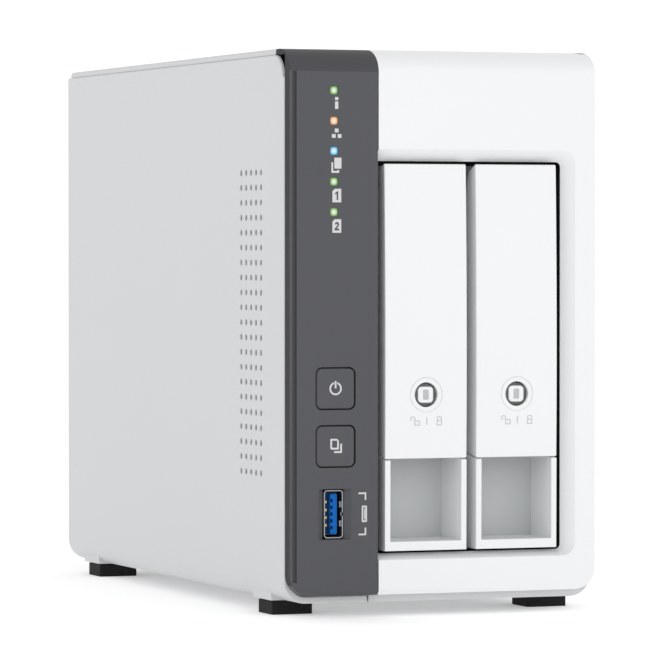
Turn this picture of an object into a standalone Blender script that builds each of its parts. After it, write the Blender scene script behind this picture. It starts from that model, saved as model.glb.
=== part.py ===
"""A two-bay desktop network attached storage, built as the pieces it comes apart into.

Sizes are millimetres, measured from the left side (x), the front face (y) and a level a little
above the ground (z); the ground itself is at z = GROUND. finish() turns them into metres, with the origin under the middle of the box that holds the object.
"""

from math import cos, pi, radians, sin

import bmesh
import bpy
from mathutils import Matrix, Vector

MM = 0.001

# Whole object
WIDTH = 101.4
DEPTH = 219.8
HEIGHT = 172.2
GROUND = -0.6
GAP = 0.3
ORIGIN = Vector((WIDTH / 2, DEPTH / 2, GROUND))

# Outer shells
WALL = 2.2
BASE = 3.85
EDGE_RADIUS = 7.0
SIDE_TOP = 170.2
SIDE_FRONT = 4.0
SIDE_CORNER = 6.8
TOP_FRONT = 13.0
TOP_REAR = 218.8
SEAM_X = 27.35

# Front: dark indicator panel on the left, white bezel around the bays on the right
FRONT_DEPTH = 12.7
FACE_THICKNESS = 2.5
FACE_BOTTOM = 6.2
FACE_TOP = 172.0
FACE_CORNER = 6.7
BROW_DEPTH = 10.0
BROW_HEIGHT = 7.0
PANEL_LEFT = 0.3
PANEL_RIGHT = 29.0
BEZEL_RIGHT = 101.1
BAY_RIGHT = 90.8
BAY_BOTTOM = 18.6
BAY_TOP = 138.1
BAY_BEVEL = 3.6

# Drive trays
TRAY_CENTRES = (44.9, 74.9)
TRAY_HALF = 13.4
TRAY_BOTTOM = 19.4
TRAY_TOP = 137.3
TRAY_SEAM = 47.8
TRAY_FRONT_DEPTH = 18.0
LEVER_DEPTH = 9.4
LEVER_PIVOT_Y = 4.4
LEVER_PIVOT_Z = 127.0
LEVER_SWING_ROOM = 13.4
EAR_RADIUS = 1.9
PIN_RADIUS = 1.0
LOCK_Z = 66.9
LOCK_RADIUS = 3.5

# Hard drives, the 3.5 inch size
DRIVE_LENGTH = 147.0
DRIVE_HEIGHT = 101.6
DRIVE_THICKNESS = 26.1
DRIVE_FRONT = 20.3
DRIVE_BOTTOM = 27.65

# Controls on the indicator panel
CONTROL_X = 15.3
POWER_Z = 69.1
COPY_Z = 51.6
BUTTON_SIZE = 12.4
BUTTON_CORNER = 1.8
LAMP_X = 14.8
LAMP_HEIGHTS = (159.3, 150.1, 141.0, 131.7, 122.5)
LAMP_SIZE = 1.9
USB_X = 15.0
USB_Z = 31.0
USB_WIDTH = 6.1
USB_HEIGHT = 14.5

# Electronics and rear
BOARD_LEFT = 22.5
BOARD_THICKNESS = 1.6
REAR_FRONT = 216.4
REAR_THICKNESS = 1.6
PORT_REAR = 219.2
FAN_X = 63.5
FAN_Z = 95.0
FAN_SIZE = 70.0
FAN_HOLE_PITCH = 60.0
FAN_FRONT = 191.0
FAN_THICKNESS = 25.0
FOOT_SIZE = (13.2, 12.5)
FOOT_LEFTS = (2.1, 87.0)
FOOT_FRONTS = (20.0, 191.0)
BOSS_TOP = 8.5

MATERIALS = {
    "white_plastic": ((0.86, 0.87, 0.88), 0.45, 0.0),
    "pale_grey_plastic": ((0.70, 0.72, 0.73), 0.5, 0.0),
    "dark_plastic": ((0.115, 0.118, 0.125), 0.5, 0.0),
    "black_plastic": ((0.02, 0.02, 0.022), 0.5, 0.0),
    "rubber": ((0.03, 0.03, 0.03), 0.8, 0.0),
    "zinc_steel": ((0.62, 0.63, 0.64), 0.35, 1.0),
    "bright_steel": ((0.75, 0.75, 0.76), 0.22, 1.0),
    "cast_aluminium": ((0.66, 0.67, 0.69), 0.4, 1.0),
    "blue_plastic": ((0.01, 0.16, 0.75), 0.4, 0.0),
    "clear_plastic": ((0.85, 0.9, 0.88), 0.15, 0.0),
    "circuit_board": ((0.01, 0.12, 0.07), 0.4, 0.0),
    "chip_black": ((0.03, 0.03, 0.03), 0.45, 0.0),
}


def start_scene():
    """Empty the scene, and make the two collections."""
    for old in list(bpy.data.objects):
        bpy.data.objects.remove(old, do_unlink=True)
    collections = []
    for name in ("network_attached_storage", "cutters"):
        collection = bpy.data.collections.new(name)
        bpy.context.scene.collection.children.link(collection)
        collections.append(collection)
    return collections


PARTS, TOOLS = start_scene()


def material(name):
    """Return the named material, made on first use."""
    found = bpy.data.materials.get(name)
    if found:
        return found
    colour, roughness, metallic = MATERIALS[name]
    made = bpy.data.materials.new(name)
    made.use_nodes = True
    shader = made.node_tree.nodes["Principled BSDF"]
    shader.inputs["Base Color"].default_value = (*colour, 1.0)
    shader.inputs["Roughness"].default_value = roughness
    shader.inputs["Metallic"].default_value = metallic
    made.diffuse_color = (*colour, 1.0)
    return made


# ---------------------------------------------------------------- solids


def finish(name, bm, finish_name=None):
    """Turn a bmesh in millimetres into a named part, or into a hidden tool where no material is given."""
    bmesh.ops.recalc_face_normals(bm, faces=bm.faces)
    bmesh.ops.translate(bm, vec=-ORIGIN, verts=bm.verts)
    bmesh.ops.scale(bm, vec=(MM, MM, MM), verts=bm.verts)
    mesh = bpy.data.meshes.new(name)
    bm.to_mesh(mesh)
    bm.free()
    made = bpy.data.objects.new(name, mesh)
    if finish_name:
        mesh.materials.append(material(finish_name))
        PARTS.objects.link(made)
    else:
        made.hide_render = True
        made.display_type = "WIRE"
        TOOLS.objects.link(made)
    return made


def block_matrix(low, high):
    low, high = Vector(low), Vector(high)
    return Matrix.Translation((low + high) / 2) @ Matrix.Diagonal((*(high - low), 1.0))


def boxes(name, corners, finish_name=None):
    """One object of plain blocks, each given by its lowest and highest corner."""
    bm = bmesh.new()
    for low, high in corners:
        bmesh.ops.create_cube(bm, size=1.0, matrix=block_matrix(low, high))
    return finish(name, bm, finish_name)


def box(name, low, high, finish_name=None):
    return boxes(name, [(low, high)], finish_name)


def tapered_box(name, front, back, finish_name=None):
    """A block whose front and back faces differ; each face is (x0, x1, y, z0, z1)."""
    bm = bmesh.new()
    bmesh.ops.create_cube(bm, size=2.0)
    for vert in bm.verts:
        left, right, depth, bottom, top = front if vert.co.y < 0 else back
        vert.co = (left if vert.co.x < 0 else right, depth, bottom if vert.co.z < 0 else top)
    return finish(name, bm, finish_name)


TURNS = {
    "X": Matrix.Rotation(radians(90), 4, "Y"),
    "Y": Matrix.Rotation(radians(-90), 4, "X"),
    "Z": Matrix.Identity(4),
}


def rods(name, axis, radius, span, centres, finish_name=None, sides=16):
    """One object of equal cylinders along an axis, over span on it, at centres across it."""
    bm = bmesh.new()
    for first, second in centres:
        middle = sum(span) / 2
        place = {
            "X": (middle, first, second),
            "Y": (first, middle, second),
            "Z": (first, second, middle),
        }[axis]
        bmesh.ops.create_cone(
            bm,
            cap_ends=True,
            segments=sides,
            radius1=radius,
            radius2=radius,
            depth=span[1] - span[0],
            matrix=Matrix.Translation(place) @ TURNS[axis],
        )
    return finish(name, bm, finish_name)


PRISM_AXES = {
    "X": Matrix(((0, 0, 1, 0), (1, 0, 0, 0), (0, 1, 0, 0), (0, 0, 0, 1))),
    "Y": Matrix(((1, 0, 0, 0), (0, 0, -1, 0), (0, 1, 0, 0), (0, 0, 0, 1))),
}


def prism(name, axis, outline, span, finish_name=None):
    """A flat outline given its thickness along X (outline in y, z) or along Y (outline in x, z)."""
    curve = bpy.data.curves.new(name + "_outline", "CURVE")
    curve.dimensions = "2D"
    curve.fill_mode = "BOTH"
    curve.extrude = abs(span[1] - span[0]) / 2
    spline = curve.splines.new("POLY")
    spline.points.add(len(outline) - 1)
    for point, (across, up) in zip(spline.points, outline):
        point.co = (across, up, 0.0, 1.0)
    spline.use_cyclic_u = True
    flat = bpy.data.objects.new(name + "_outline", curve)
    middle = sum(span) / 2
    offset = Vector((middle, 0, 0)) if axis == "X" else Vector((0, middle, 0))
    flat.matrix_world = Matrix.Translation(offset) @ PRISM_AXES[axis]
    TOOLS.objects.link(flat)
    bpy.context.view_layer.update()
    solid = bpy.data.meshes.new_from_object(flat.evaluated_get(bpy.context.evaluated_depsgraph_get()))
    bm = bmesh.new()
    bm.from_mesh(solid)
    bmesh.ops.remove_doubles(bm, verts=bm.verts, dist=0.001)
    bmesh.ops.transform(bm, matrix=flat.matrix_world, verts=bm.verts)
    bpy.data.objects.remove(flat, do_unlink=True)
    bpy.data.meshes.remove(solid)
    return finish(name, bm, finish_name)


def arc(centre, radius, start, end, steps=6):
    """Points on an arc, in degrees anticlockwise from the first direction."""
    angles = (radians(start + (end - start) * i / steps) for i in range(steps + 1))
    return [(centre[0] + radius * cos(a), centre[1] + radius * sin(a)) for a in angles]


def rounded(low, high, radius, steps=3):
    """The outline of a rectangle with round corners."""
    (left, bottom), (right, top) = low, high
    return (
        arc((right - radius, top - radius), radius, 0, 90, steps)
        + arc((left + radius, top - radius), radius, 90, 180, steps)
        + arc((left + radius, bottom + radius), radius, 180, 270, steps)
        + arc((right - radius, bottom + radius), radius, 270, 360, steps)
    )


def boolean(target, operation, tools):
    for tool in tools:
        modifier = target.modifiers.new(tool.name, "BOOLEAN")
        modifier.operation = operation
        modifier.solver = "EXACT"
        modifier.object = tool
    return target


def cut(target, *tools):
    return boolean(target, "DIFFERENCE", tools)


def fuse(target, *tools):
    return boolean(target, "UNION", tools)


def smooth(piece, angle=40):
    piece.data.shade_smooth()
    piece.data.set_sharp_from_angle(angle=radians(angle))
    return piece


# ---------------------------------------------------------------- outer shells


def add_foot_bosses(shell, left):
    """Flat pads under a shell's round edge, one for each of its two feet."""
    for number, front in enumerate(FOOT_FRONTS, 1):
        low = (left - 0.5, front - 0.4, BASE)
        high = (left + FOOT_SIZE[0] + 0.5, front + FOOT_SIZE[1] + 3.0, BOSS_TOP)
        fuse(shell, box(f"{shell.name}_foot_boss_{number}", low, high))


def make_left_cover():
    """Left wall with its round lower edge and bottom strip; the front top corner is round."""
    middle = (EDGE_RADIUS, BASE + EDGE_RADIUS)
    outer = [(0.0, SIDE_TOP)] + arc(middle, EDGE_RADIUS, 180, 270, 8) + [(SEAM_X - GAP / 2, BASE)]
    inner = [(SEAM_X - GAP / 2, BASE + WALL)] + arc(middle, EDGE_RADIUS - WALL, 270, 180, 8)
    inner += [(WALL, SIDE_TOP)]
    cover = prism("left_cover", "Y", outer + inner, (SIDE_FRONT, DEPTH), "pale_grey_plastic")
    add_foot_bosses(cover, FOOT_LEFTS[0])
    corner = (SIDE_FRONT + SIDE_CORNER, SIDE_TOP - SIDE_CORNER)
    outline = [(SIDE_FRONT - 1, SIDE_TOP + 1), (SIDE_FRONT - 1, corner[1])]
    outline += arc(corner, SIDE_CORNER, 180, 90, 6) + [(corner[0], SIDE_TOP + 1)]
    cut(cover, prism("left_cover_corner", "X", outline, (-1, WALL + 1)))
    fuse(cover, box("left_cover_tab", (WALL - 0.5, 206.0, 150.0), (10.0, REAR_FRONT - GAP, 160.0)))
    cut(cover, rods("left_cover_tab_hole", "Y", 1.9, (205.0, 217.0), [(6.5, 155.0)], sides=10))
    return smooth(cover)


def make_main_housing():
    """Top, right wall and bottom in one shell, with a flange that tucks inside the left cover."""
    middle = (WIDTH - EDGE_RADIUS, BASE + EDGE_RADIUS)
    top_radius = 1.5
    top_corner = (WIDTH - top_radius, HEIGHT - top_radius)
    outer = [(0.7, SIDE_TOP + GAP), (0.9, HEIGHT - 0.7), (1.7, HEIGHT)]
    outer += arc(top_corner, top_radius, 90, 0, 3)
    outer += arc(middle, EDGE_RADIUS, 0, -90, 8) + [(SEAM_X + GAP / 2, BASE)]
    inner = [(SEAM_X + GAP / 2, BASE + WALL)] + arc(middle, EDGE_RADIUS - WALL, -90, 0, 8)
    inner += [(WIDTH - WALL, HEIGHT - WALL), (4.5, HEIGHT - WALL), (4.5, 164.0), (2.5, 164.0)]
    inner += [(2.5, SIDE_TOP + GAP)]
    housing = prism("main_housing", "Y", outer + inner, (SIDE_FRONT, TOP_REAR), "pale_grey_plastic")
    cut(housing, box("main_housing_brow_room", (-1, 3, 160.0), (WIDTH - WALL + 0.01, TOP_FRONT, 175)))
    centre = (TOP_FRONT, SIDE_TOP - SIDE_CORNER + 1.5)
    reach = TOP_FRONT - SIDE_FRONT
    outline = [(SIDE_FRONT - 1, HEIGHT + 3), (SIDE_FRONT - 1, centre[1])]
    outline += arc(centre, reach, 180, 90, 6) + [(TOP_FRONT, HEIGHT + 3)]
    cut(housing, prism("main_housing_brow_corner", "X", outline, (WIDTH - WALL - 0.01, WIDTH + 1)))
    add_foot_bosses(housing, FOOT_LEFTS[1])
    for number, height in enumerate((20.0, 155.0), 1):
        low = (WIDTH - 9.8, 206.0, height - 5)
        high = (WIDTH - WALL + 0.5, REAR_FRONT - GAP, height + 5)
        fuse(housing, box(f"main_housing_tab_{number}", low, high))
    holes = [(WIDTH - 6.5, 20.0), (WIDTH - 6.5, 155.0)]
    cut(housing, rods("main_housing_tab_holes", "Y", 1.9, (205.0, 217.0), holes, sides=10))
    return smooth(housing)


def brow_outline():
    """Side outline of both front pieces: flat face, then a round brow up to the top."""
    brow = [
        (BROW_DEPTH * (1 + across), FACE_TOP - BROW_HEIGHT * (1 - up)) for across, up in arc((0.0, 0.0), 1.0, 90, 180, 8)
    ]
    base = [(0.0, FACE_BOTTOM + 1.2), (0.8, FACE_BOTTOM), (FRONT_DEPTH, FACE_BOTTOM), (FRONT_DEPTH, FACE_TOP)]
    return base + brow


def make_front_bezel():
    """White frame around the bays; its left side is closed by the indicator panel."""
    bezel = prism("front_bezel", "X", brow_outline(), (PANEL_RIGHT + GAP, BEZEL_RIGHT), "white_plastic")
    middle = (BEZEL_RIGHT - FACE_CORNER, FACE_BOTTOM + FACE_CORNER)
    corner = arc(middle, FACE_CORNER, 0, -90, 8) + [(middle[0], 0.0), (110.0, 0.0), (110.0, middle[1])]
    cut(bezel, prism("bezel_lower_corner", "Y", corner, (-1, 14)))
    inside = (WIDTH - WALL - GAP, BASE + WALL + GAP)
    rim_radius = EDGE_RADIUS - WALL - GAP
    corner_z = SIDE_TOP - SIDE_CORNER + 1.5
    rim = [(inside[0], corner_z), (inside[0], BASE + EDGE_RADIUS)]
    rim += arc((inside[0] - rim_radius, BASE + EDGE_RADIUS), rim_radius, 0, -90, 8)
    rim += [(20.0, inside[1] + 0.01), (20.0, 0.0), (110.0, 0.0), (110.0, corner_z)]
    cut(bezel, prism("bezel_rim_step", "Y", rim, (SIDE_FRONT - GAP, 14)))
    reach = TOP_FRONT - SIDE_FRONT + GAP
    cut(bezel, rods("bezel_rim_corner", "X", reach, (inside[0], 110), [(TOP_FRONT, corner_z)], sides=32))
    cut(bezel, box("bay_opening", (20, -1, BAY_BOTTOM), (BAY_RIGHT, 14, BAY_TOP)))
    front = (20.0, BAY_RIGHT + BAY_BEVEL, -0.01, BAY_BOTTOM - 1.85, BAY_TOP + BAY_BEVEL)
    back = (20.0, BAY_RIGHT, BAY_BEVEL, BAY_BOTTOM, BAY_TOP)
    cut(bezel, tapered_box("bay_bevel", front, back))
    pockets = [
        ((BAY_RIGHT + 5.5, 5.0, 22.0), (97.0, 14.0, 155.0)),
        ((PANEL_RIGHT + 3.0, 5.0, BAY_TOP + 5.5), (96.0, 14.0, 163.5)),
        ((PANEL_RIGHT + 3.0, 4.5, 8.0), (88.0, 14.0, BAY_BOTTOM - 2.5)),
    ]
    cut(bezel, boxes("bezel_rear_pockets", pockets))
    return smooth(bezel)


def make_indicator_panel():
    """Dark strip that carries the lamps, the two buttons and the front USB port."""
    panel = prism("indicator_panel", "X", brow_outline(), (PANEL_LEFT, PANEL_RIGHT), "dark_plastic")
    middle = (PANEL_LEFT + FACE_CORNER, FACE_BOTTOM + FACE_CORNER)
    corner = arc(middle, FACE_CORNER, 180, 270, 8) + [(middle[0], 0.0), (-5.0, 0.0), (-5.0, middle[1])]
    cut(panel, prism("panel_lower_corner", "Y", corner, (-1, 14)))
    inside = (WALL + GAP, BASE + WALL + GAP)
    rim_radius = EDGE_RADIUS - WALL - GAP
    rim = [(inside[0], 170.3), (inside[0], BASE + EDGE_RADIUS)]
    rim += arc((inside[0] + rim_radius, BASE + EDGE_RADIUS), rim_radius, 180, 270, 8)
    rim += [(40.0, inside[1] + 0.01), (40.0, 0.0), (-5.0, 0.0), (-5.0, 170.3)]
    cut(panel, prism("panel_rim_step", "Y", rim, (SIDE_FRONT - GAP, 14)))
    cut(panel, box("panel_top_step", (-1, SIDE_FRONT - GAP, 170.0), (0.8, 14, 180)))
    cut(panel, box("panel_hollow", (4.5, FACE_THICKNESS, 8.5), (PANEL_RIGHT - 2.0, 14.0, 163.0)))
    cut(panel, box("panel_groove", (1.2, -1.0, 10.6), (2.7, 0.8, 164.9)))
    for name, height in (("power", POWER_Z), ("copy", COPY_Z)):
        reach = BUTTON_SIZE / 2 + GAP
        outline = rounded((CONTROL_X - reach, height - reach), (CONTROL_X + reach, height + reach), BUTTON_CORNER + GAP)
        cut(panel, prism(f"{name}_button_opening", "Y", outline, (-1, 4)))
    reach = LAMP_SIZE / 2 + GAP
    lamps = [((LAMP_X - reach, -1, z - reach), (LAMP_X + reach, 4, z + reach)) for z in LAMP_HEIGHTS]
    cut(panel, boxes("lamp_holes", lamps))
    half_x, half_z = USB_WIDTH / 2 + GAP, USB_HEIGHT / 2 + GAP
    front = (USB_X - 5.3, USB_X + 5.6, -0.01, USB_Z - half_z - 0.1, USB_Z + half_z + 0.1)
    back = (USB_X - half_x, USB_X + half_x, 1.6, USB_Z - half_z, USB_Z + half_z)
    cut(panel, tapered_box("usb_pocket", front, back))
    low = (USB_X - half_x, -1, USB_Z - half_z)
    cut(panel, box("usb_opening", low, (USB_X + half_x, 4, USB_Z + half_z)))
    return smooth(panel)


def grille_centres(pitch, reach):
    """Centres of a hexagonal grid of holes inside a circle."""
    row_step = pitch * cos(radians(30))
    rows = int(reach / row_step) + 1
    for row in range(-rows, rows + 1):
        shift = pitch / 2 if row % 2 else 0.0
        for column in range(-rows - 1, rows + 2):
            across, up = column * pitch + shift, row * row_step
            if across**2 + up**2 <= reach**2:
                yield FAN_X + across, FAN_Z + up


PORTS = {
    # name: (left, right, bottom, top) of its body, seen from the front
    "ethernet_jack_1": (8.7, 22.2, 118.0, 134.0),
    "ethernet_jack_2": (8.7, 22.2, 98.0, 114.0),
    "rear_usb_shell_1": (15.2, 22.2, 76.0, 90.5),
    "rear_usb_shell_2": (15.2, 22.2, 56.0, 70.5),
    "power_inlet": (11.2, 22.2, 20.0, 29.0),
}
RESET_X = 19.0
RESET_Z = 44.0
SCREW_PLACES = {
    "cover_screw_1": (6.5, 155.0),
    "cover_screw_2": (WIDTH - 6.5, 155.0),
    "cover_screw_3": (WIDTH - 6.5, 20.0),
}


def fan_corners():
    half = FAN_HOLE_PITCH / 2
    return [(FAN_X + i * half, FAN_Z + j * half) for i in (-1, 1) for j in (-1, 1)]


def make_rear_panel():
    """Steel rear sheet: fan grille, port cut-outs, screw holes and a security slot."""
    left, bottom, right, top = WALL + GAP, BASE + WALL + GAP, WIDTH - WALL - GAP, 163.6
    radius = EDGE_RADIUS - WALL - GAP
    outline = (
        arc((right - 0.5, top - 0.5), 0.5, 0, 90, 1)
        + arc((left + 0.5, top - 0.5), 0.5, 90, 180, 1)
        + arc((left + radius, BASE + EDGE_RADIUS), radius, 180, 270)
        + arc((right - radius, BASE + EDGE_RADIUS), radius, 270, 360)
    )
    rear = REAR_FRONT + REAR_THICKNESS
    panel = prism("rear_panel", "Y", outline, (REAR_FRONT, rear), "zinc_steel")
    span = (REAR_FRONT - 1, rear + 1)
    fuse(panel, box("rear_top_strip", (5.0, REAR_FRONT, 162.0), (98.5, rear, HEIGHT - WALL - GAP)))
    cut(panel, rods("grille_holes", "Y", 3.6, span, grille_centres(8.2, 29.5), sides=6))
    openings = [
        ((left - GAP, span[0], bottom - GAP), (right + GAP, span[1], top + GAP))
        for left, right, bottom, top in PORTS.values()
    ]
    openings.append(((88.5, span[0], 40.0), (91.5, span[1], 47.0)))
    cut(panel, boxes("port_openings", openings))
    cut(panel, rods("cover_screw_holes", "Y", 1.9, span, SCREW_PLACES.values(), sides=10))
    cut(panel, rods("fan_screw_holes", "Y", 2.2, span, fan_corners(), sides=10))
    cut(panel, rods("reset_hole", "Y", 2.0, span, [(RESET_X, RESET_Z)], sides=12))
    return panel


def make_feet():
    for side, left in zip(("left", "right"), FOOT_LEFTS):
        for end, front in zip(("front", "rear"), FOOT_FRONTS):
            low = (left, front, GROUND)
            high = (left + FOOT_SIZE[0], front + FOOT_SIZE[1], BASE - GAP)
            box(f"foot_{end}_{side}", low, high, "rubber")


# ---------------------------------------------------------------- inner frame


def make_drive_cage():
    """Steel box, open at both ends, that the trays slide in; it carries the mainboard's standoffs."""
    low, high = (28.2, 16.0, 17.2), (91.9, 186.0, 139.4)
    cage = box("drive_cage", low, high, "zinc_steel")
    cut(cage, box("cage_inside", (29.2, 15.0, 18.2), (90.9, 187.0, 138.4)))
    windows = [((85, y, 40.0), (95, y + 30, 116.0)) for y in (30, 75, 120)]
    cut(cage, boxes("cage_windows", windows))
    fuse(cage, rods("cage_standoffs", "X", 3.0, (24.4, 28.6), BOARD_HOLES, sides=10))
    cut(cage, rods("cage_standoff_bores", "X", 1.8, (24.0, 28.0), BOARD_HOLES, sides=10))
    return cage


def make_guides():
    """Plastic rails above and below the trays, with a rib between the bays."""
    lower = box("lower_guide", (29.5, 20.0, 18.5), (90.6, 168.0, 21.1), "black_plastic")
    fuse(lower, box("lower_guide_rib", (58.4, 20.0, 20.0), (59.7, 168.0, 26.0)))
    upper = box("upper_guide", (29.5, 20.0, 135.9), (90.6, 168.0, 138.1), "black_plastic")
    fuse(upper, box("upper_guide_rib", (58.4, 20.0, 131.0), (59.7, 168.0, 137.0)))


BOARD_HOLES = [(28.0, 24.0), (28.0, 132.0), (180.0, 24.0), (180.0, 132.0)]


def make_mainboard():
    """Main circuit board standing between the left cover and the cage, with its parts."""
    right = BOARD_LEFT + BOARD_THICKNESS
    board = box("mainboard", (BOARD_LEFT, 18.0, 14.0), (right, 214.0, 160.0), "circuit_board")
    cut(board, rods("mainboard_holes", "X", 1.9, (20, 26), BOARD_HOLES, sides=10))
    face = BOARD_LEFT - GAP
    box("processor", (face - 1.5, 100.0, 100.0), (face, 117.0, 117.0), "chip_black")
    base = face - 1.5 - GAP
    sink = box("heatsink", (base - 2.5, 86.0, 86.0), (base, 131.0, 131.0), "cast_aluminium")
    for fin in range(9):
        front = 86.01 + fin * 5.36
        fuse(sink, box(f"heatsink_fin_{fin + 1}", (base - 12.0, front, 86.01), (base - 2.0, front + 2.0, 130.99)))
    holder = box("coin_cell_holder", (face - 4.0, 48.0, 36.0), (face, 72.0, 60.0), "black_plastic")
    cut(holder, rods("coin_cell_seat", "X", 10.3, (face - 5.0, face - 1.0), [(60.0, 48.0)], sides=20))
    smooth(rods("coin_cell", "X", 10.0, (face - 4.6, face - 1.3), [(60.0, 48.0)], "bright_steel", 20))


def make_rear_ports():
    """Ethernet jacks, USB sockets, the round DC inlet and the reset switch."""
    front = 198.0
    for number in (1, 2):
        left, right, bottom, top = PORTS[f"ethernet_jack_{number}"]
        jack = box(f"ethernet_jack_{number}", (left, front, bottom), (right, PORT_REAR, top), "zinc_steel")
        middle = (bottom + top) / 2
        mouth = [
            ((left + 3.2, PORT_REAR - 12.0, middle - 5.9), (right - 1.9, PORT_REAR + 1, middle + 5.9)),
            ((left + 1.2, PORT_REAR - 12.0, middle - 3.0), (left + 4.0, PORT_REAR + 1, middle + 3.0)),
        ]
        for index, (low, high) in enumerate(mouth, 1):
            cut(jack, box(f"jack_{number}_mouth_{index}", low, high))
    for number in (1, 2):
        left, right, bottom, top = PORTS[f"rear_usb_shell_{number}"]
        shell = box(f"rear_usb_shell_{number}", (left, 205.0, bottom), (right, PORT_REAR, top), "bright_steel")
        inside = ((left + 0.6, 204.0, bottom + 0.6), (right - 0.6, PORT_REAR + 1, top - 0.6))
        cut(shell, box(f"rear_usb_{number}_inside", *inside))
        low = (left + 1.2, 206.0, bottom + 1.7)
        box(f"rear_usb_tongue_{number}", low, (left + 3.0, PORT_REAR - 0.9, top - 1.7), "blue_plastic")
    left, right, bottom, top = PORTS["power_inlet"]
    centre = [((left + right) / 2, (bottom + top) / 2)]
    inlet = box("power_inlet", (left, 205.0, bottom), (right, PORT_REAR, top), "black_plastic")
    cut(inlet, rods("power_inlet_bore", "Y", 3.2, (PORT_REAR - 9.5, PORT_REAR + 1), centre, sides=20))
    fuse(inlet, rods("power_inlet_pin", "Y", 1.0, (PORT_REAR - 10.5, PORT_REAR - 1.0), centre, sides=10))
    low = (RESET_X - 2.9, 208.0, RESET_Z - 3.0)
    box("reset_switch", low, (BOARD_LEFT - GAP, 213.0, RESET_Z + 3.0), "black_plastic")
    reset = rods("reset_button", "Y", 1.6, (213.9, 217.8), [(RESET_X, RESET_Z)], "dark_plastic", 12)
    smooth(reset)


def make_backplane():
    """Upright board behind the drives with one drive connector for each bay."""
    board = box("backplane_board", (29.6, 176.0, 19.0), (90.5, 177.6, 137.0), "circuit_board")
    air = [((x - 9.0, 175.0, 76.0), (x + 9.0, 179.0, 128.0)) for x in TRAY_CENTRES]
    cut(board, boxes("backplane_air_holes", air))
    for number, centre in enumerate(TRAY_CENTRES, 1):
        low = (centre - 10.0, 162.0, 38.0)
        plug = box(f"drive_connector_{number}", low, (centre - 4.5, 175.7, 80.0), "black_plastic")
        cut(plug, box(f"drive_connector_{number}_slot", (centre - 8.2, 161.0, 40.0), (centre - 6.4, 168.0, 78.0)))


def make_front_board():
    """Small upright board behind the indicator panel: switches, lamps' light guide and USB socket."""
    box("front_board", (5.0, 14.0, 20.0), (26.0, 15.6, 165.0), "circuit_board")
    for name, height in (("power_switch", POWER_Z), ("copy_switch", COPY_Z)):
        low = (CONTROL_X - 3.0, 10.4, height - 3.0)
        box(name, low, (CONTROL_X + 3.0, 14.0 - GAP, height + 3.0), "black_plastic")
    half = LAMP_SIZE / 2
    guide = box(
        "light_guide",
        (LAMP_X - half, 8.0, LAMP_HEIGHTS[-1] - 2.0),
        (LAMP_X + half, 10.0, LAMP_HEIGHTS[0] + 2.0),
        "clear_plastic",
    )
    for number, height in enumerate(LAMP_HEIGHTS, 1):
        low = (LAMP_X - half + 0.01, 0.1, height - half)
        high = (LAMP_X + half - 0.01, 14.0 - GAP, height + half)
        fuse(guide, box(f"light_guide_finger_{number}", low, high))
    low = (USB_X - USB_WIDTH / 2, 1.0, USB_Z - USB_HEIGHT / 2)
    high = (USB_X + USB_WIDTH / 2, 14.0 - GAP, USB_Z + USB_HEIGHT / 2)
    shell = box("front_usb_shell", low, high, "bright_steel")
    edge = Vector((0.5, 0.0, 0.5))
    cut(shell, box("front_usb_inside", Vector(low) + edge - Vector((0, 1, 0)), Vector(high) - edge + Vector((0, 1, 0))))
    low = (USB_X + 0.1, 2.0, USB_Z - 5.9)
    box("front_usb_tongue", low, (USB_X + 1.9, 14.0 - GAP, USB_Z + 5.9), "blue_plastic")


def make_fan():
    """Square fan: frame with its motor mount, and a rotor with seven blades on the fan's axis."""
    rear = FAN_FRONT + FAN_THICKNESS - 0.3
    half = FAN_SIZE / 2
    outline = rounded((FAN_X - half, FAN_Z - half), (FAN_X + half, FAN_Z + half), 4.0)
    frame = prism("fan_frame", "Y", outline, (FAN_FRONT, rear), "black_plastic")
    centre = [(FAN_X, FAN_Z)]
    cut(frame, rods("fan_duct", "Y", 33.2, (FAN_FRONT - 1, rear + 1), centre, sides=36))
    cut(frame, rods("fan_corner_holes", "Y", 2.2, (FAN_FRONT - 1, rear + 1), fan_corners(), sides=10))
    fuse(frame, rods("fan_motor_mount", "Y", 14.0, (rear - 3.0, rear), centre, sides=24))
    for number, turn in enumerate((45, 135), 1):
        strut = box(f"fan_strut_{number}", (-35.0, rear - 2.5, -2.0), (35.0, rear - 0.1, 2.0))
        strut.data.transform(Matrix.Translation(ORIGIN * MM))
        strut.data.transform(Matrix.Rotation(radians(turn), 4, "Y"))
        strut.data.transform(Matrix.Translation((Vector((FAN_X, 0, FAN_Z)) - ORIGIN) * MM))
        fuse(frame, strut)
    smooth(frame)
    rotor = rods("fan_rotor", "Y", 13.5, (FAN_FRONT + 2.0, rear - 3.6), centre, "black_plastic", 24)
    for number in range(7):
        blade = box(f"fan_blade_{number + 1}", (11.0, -9.0, -0.8), (31.8, 9.0, 0.8))
        blade.data.transform(Matrix.Translation(ORIGIN * MM))
        blade.data.transform(Matrix.Rotation(radians(40), 4, "X"))
        blade.data.transform(Matrix.Rotation(2 * pi * number / 7, 4, "Y"))
        place = Vector((FAN_X, FAN_FRONT + 11.0, FAN_Z))
        blade.data.transform(Matrix.Translation((place - ORIGIN) * MM))
        fuse(rotor, blade)
    smooth(rotor)


# ---------------------------------------------------------------- moving pieces


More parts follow.
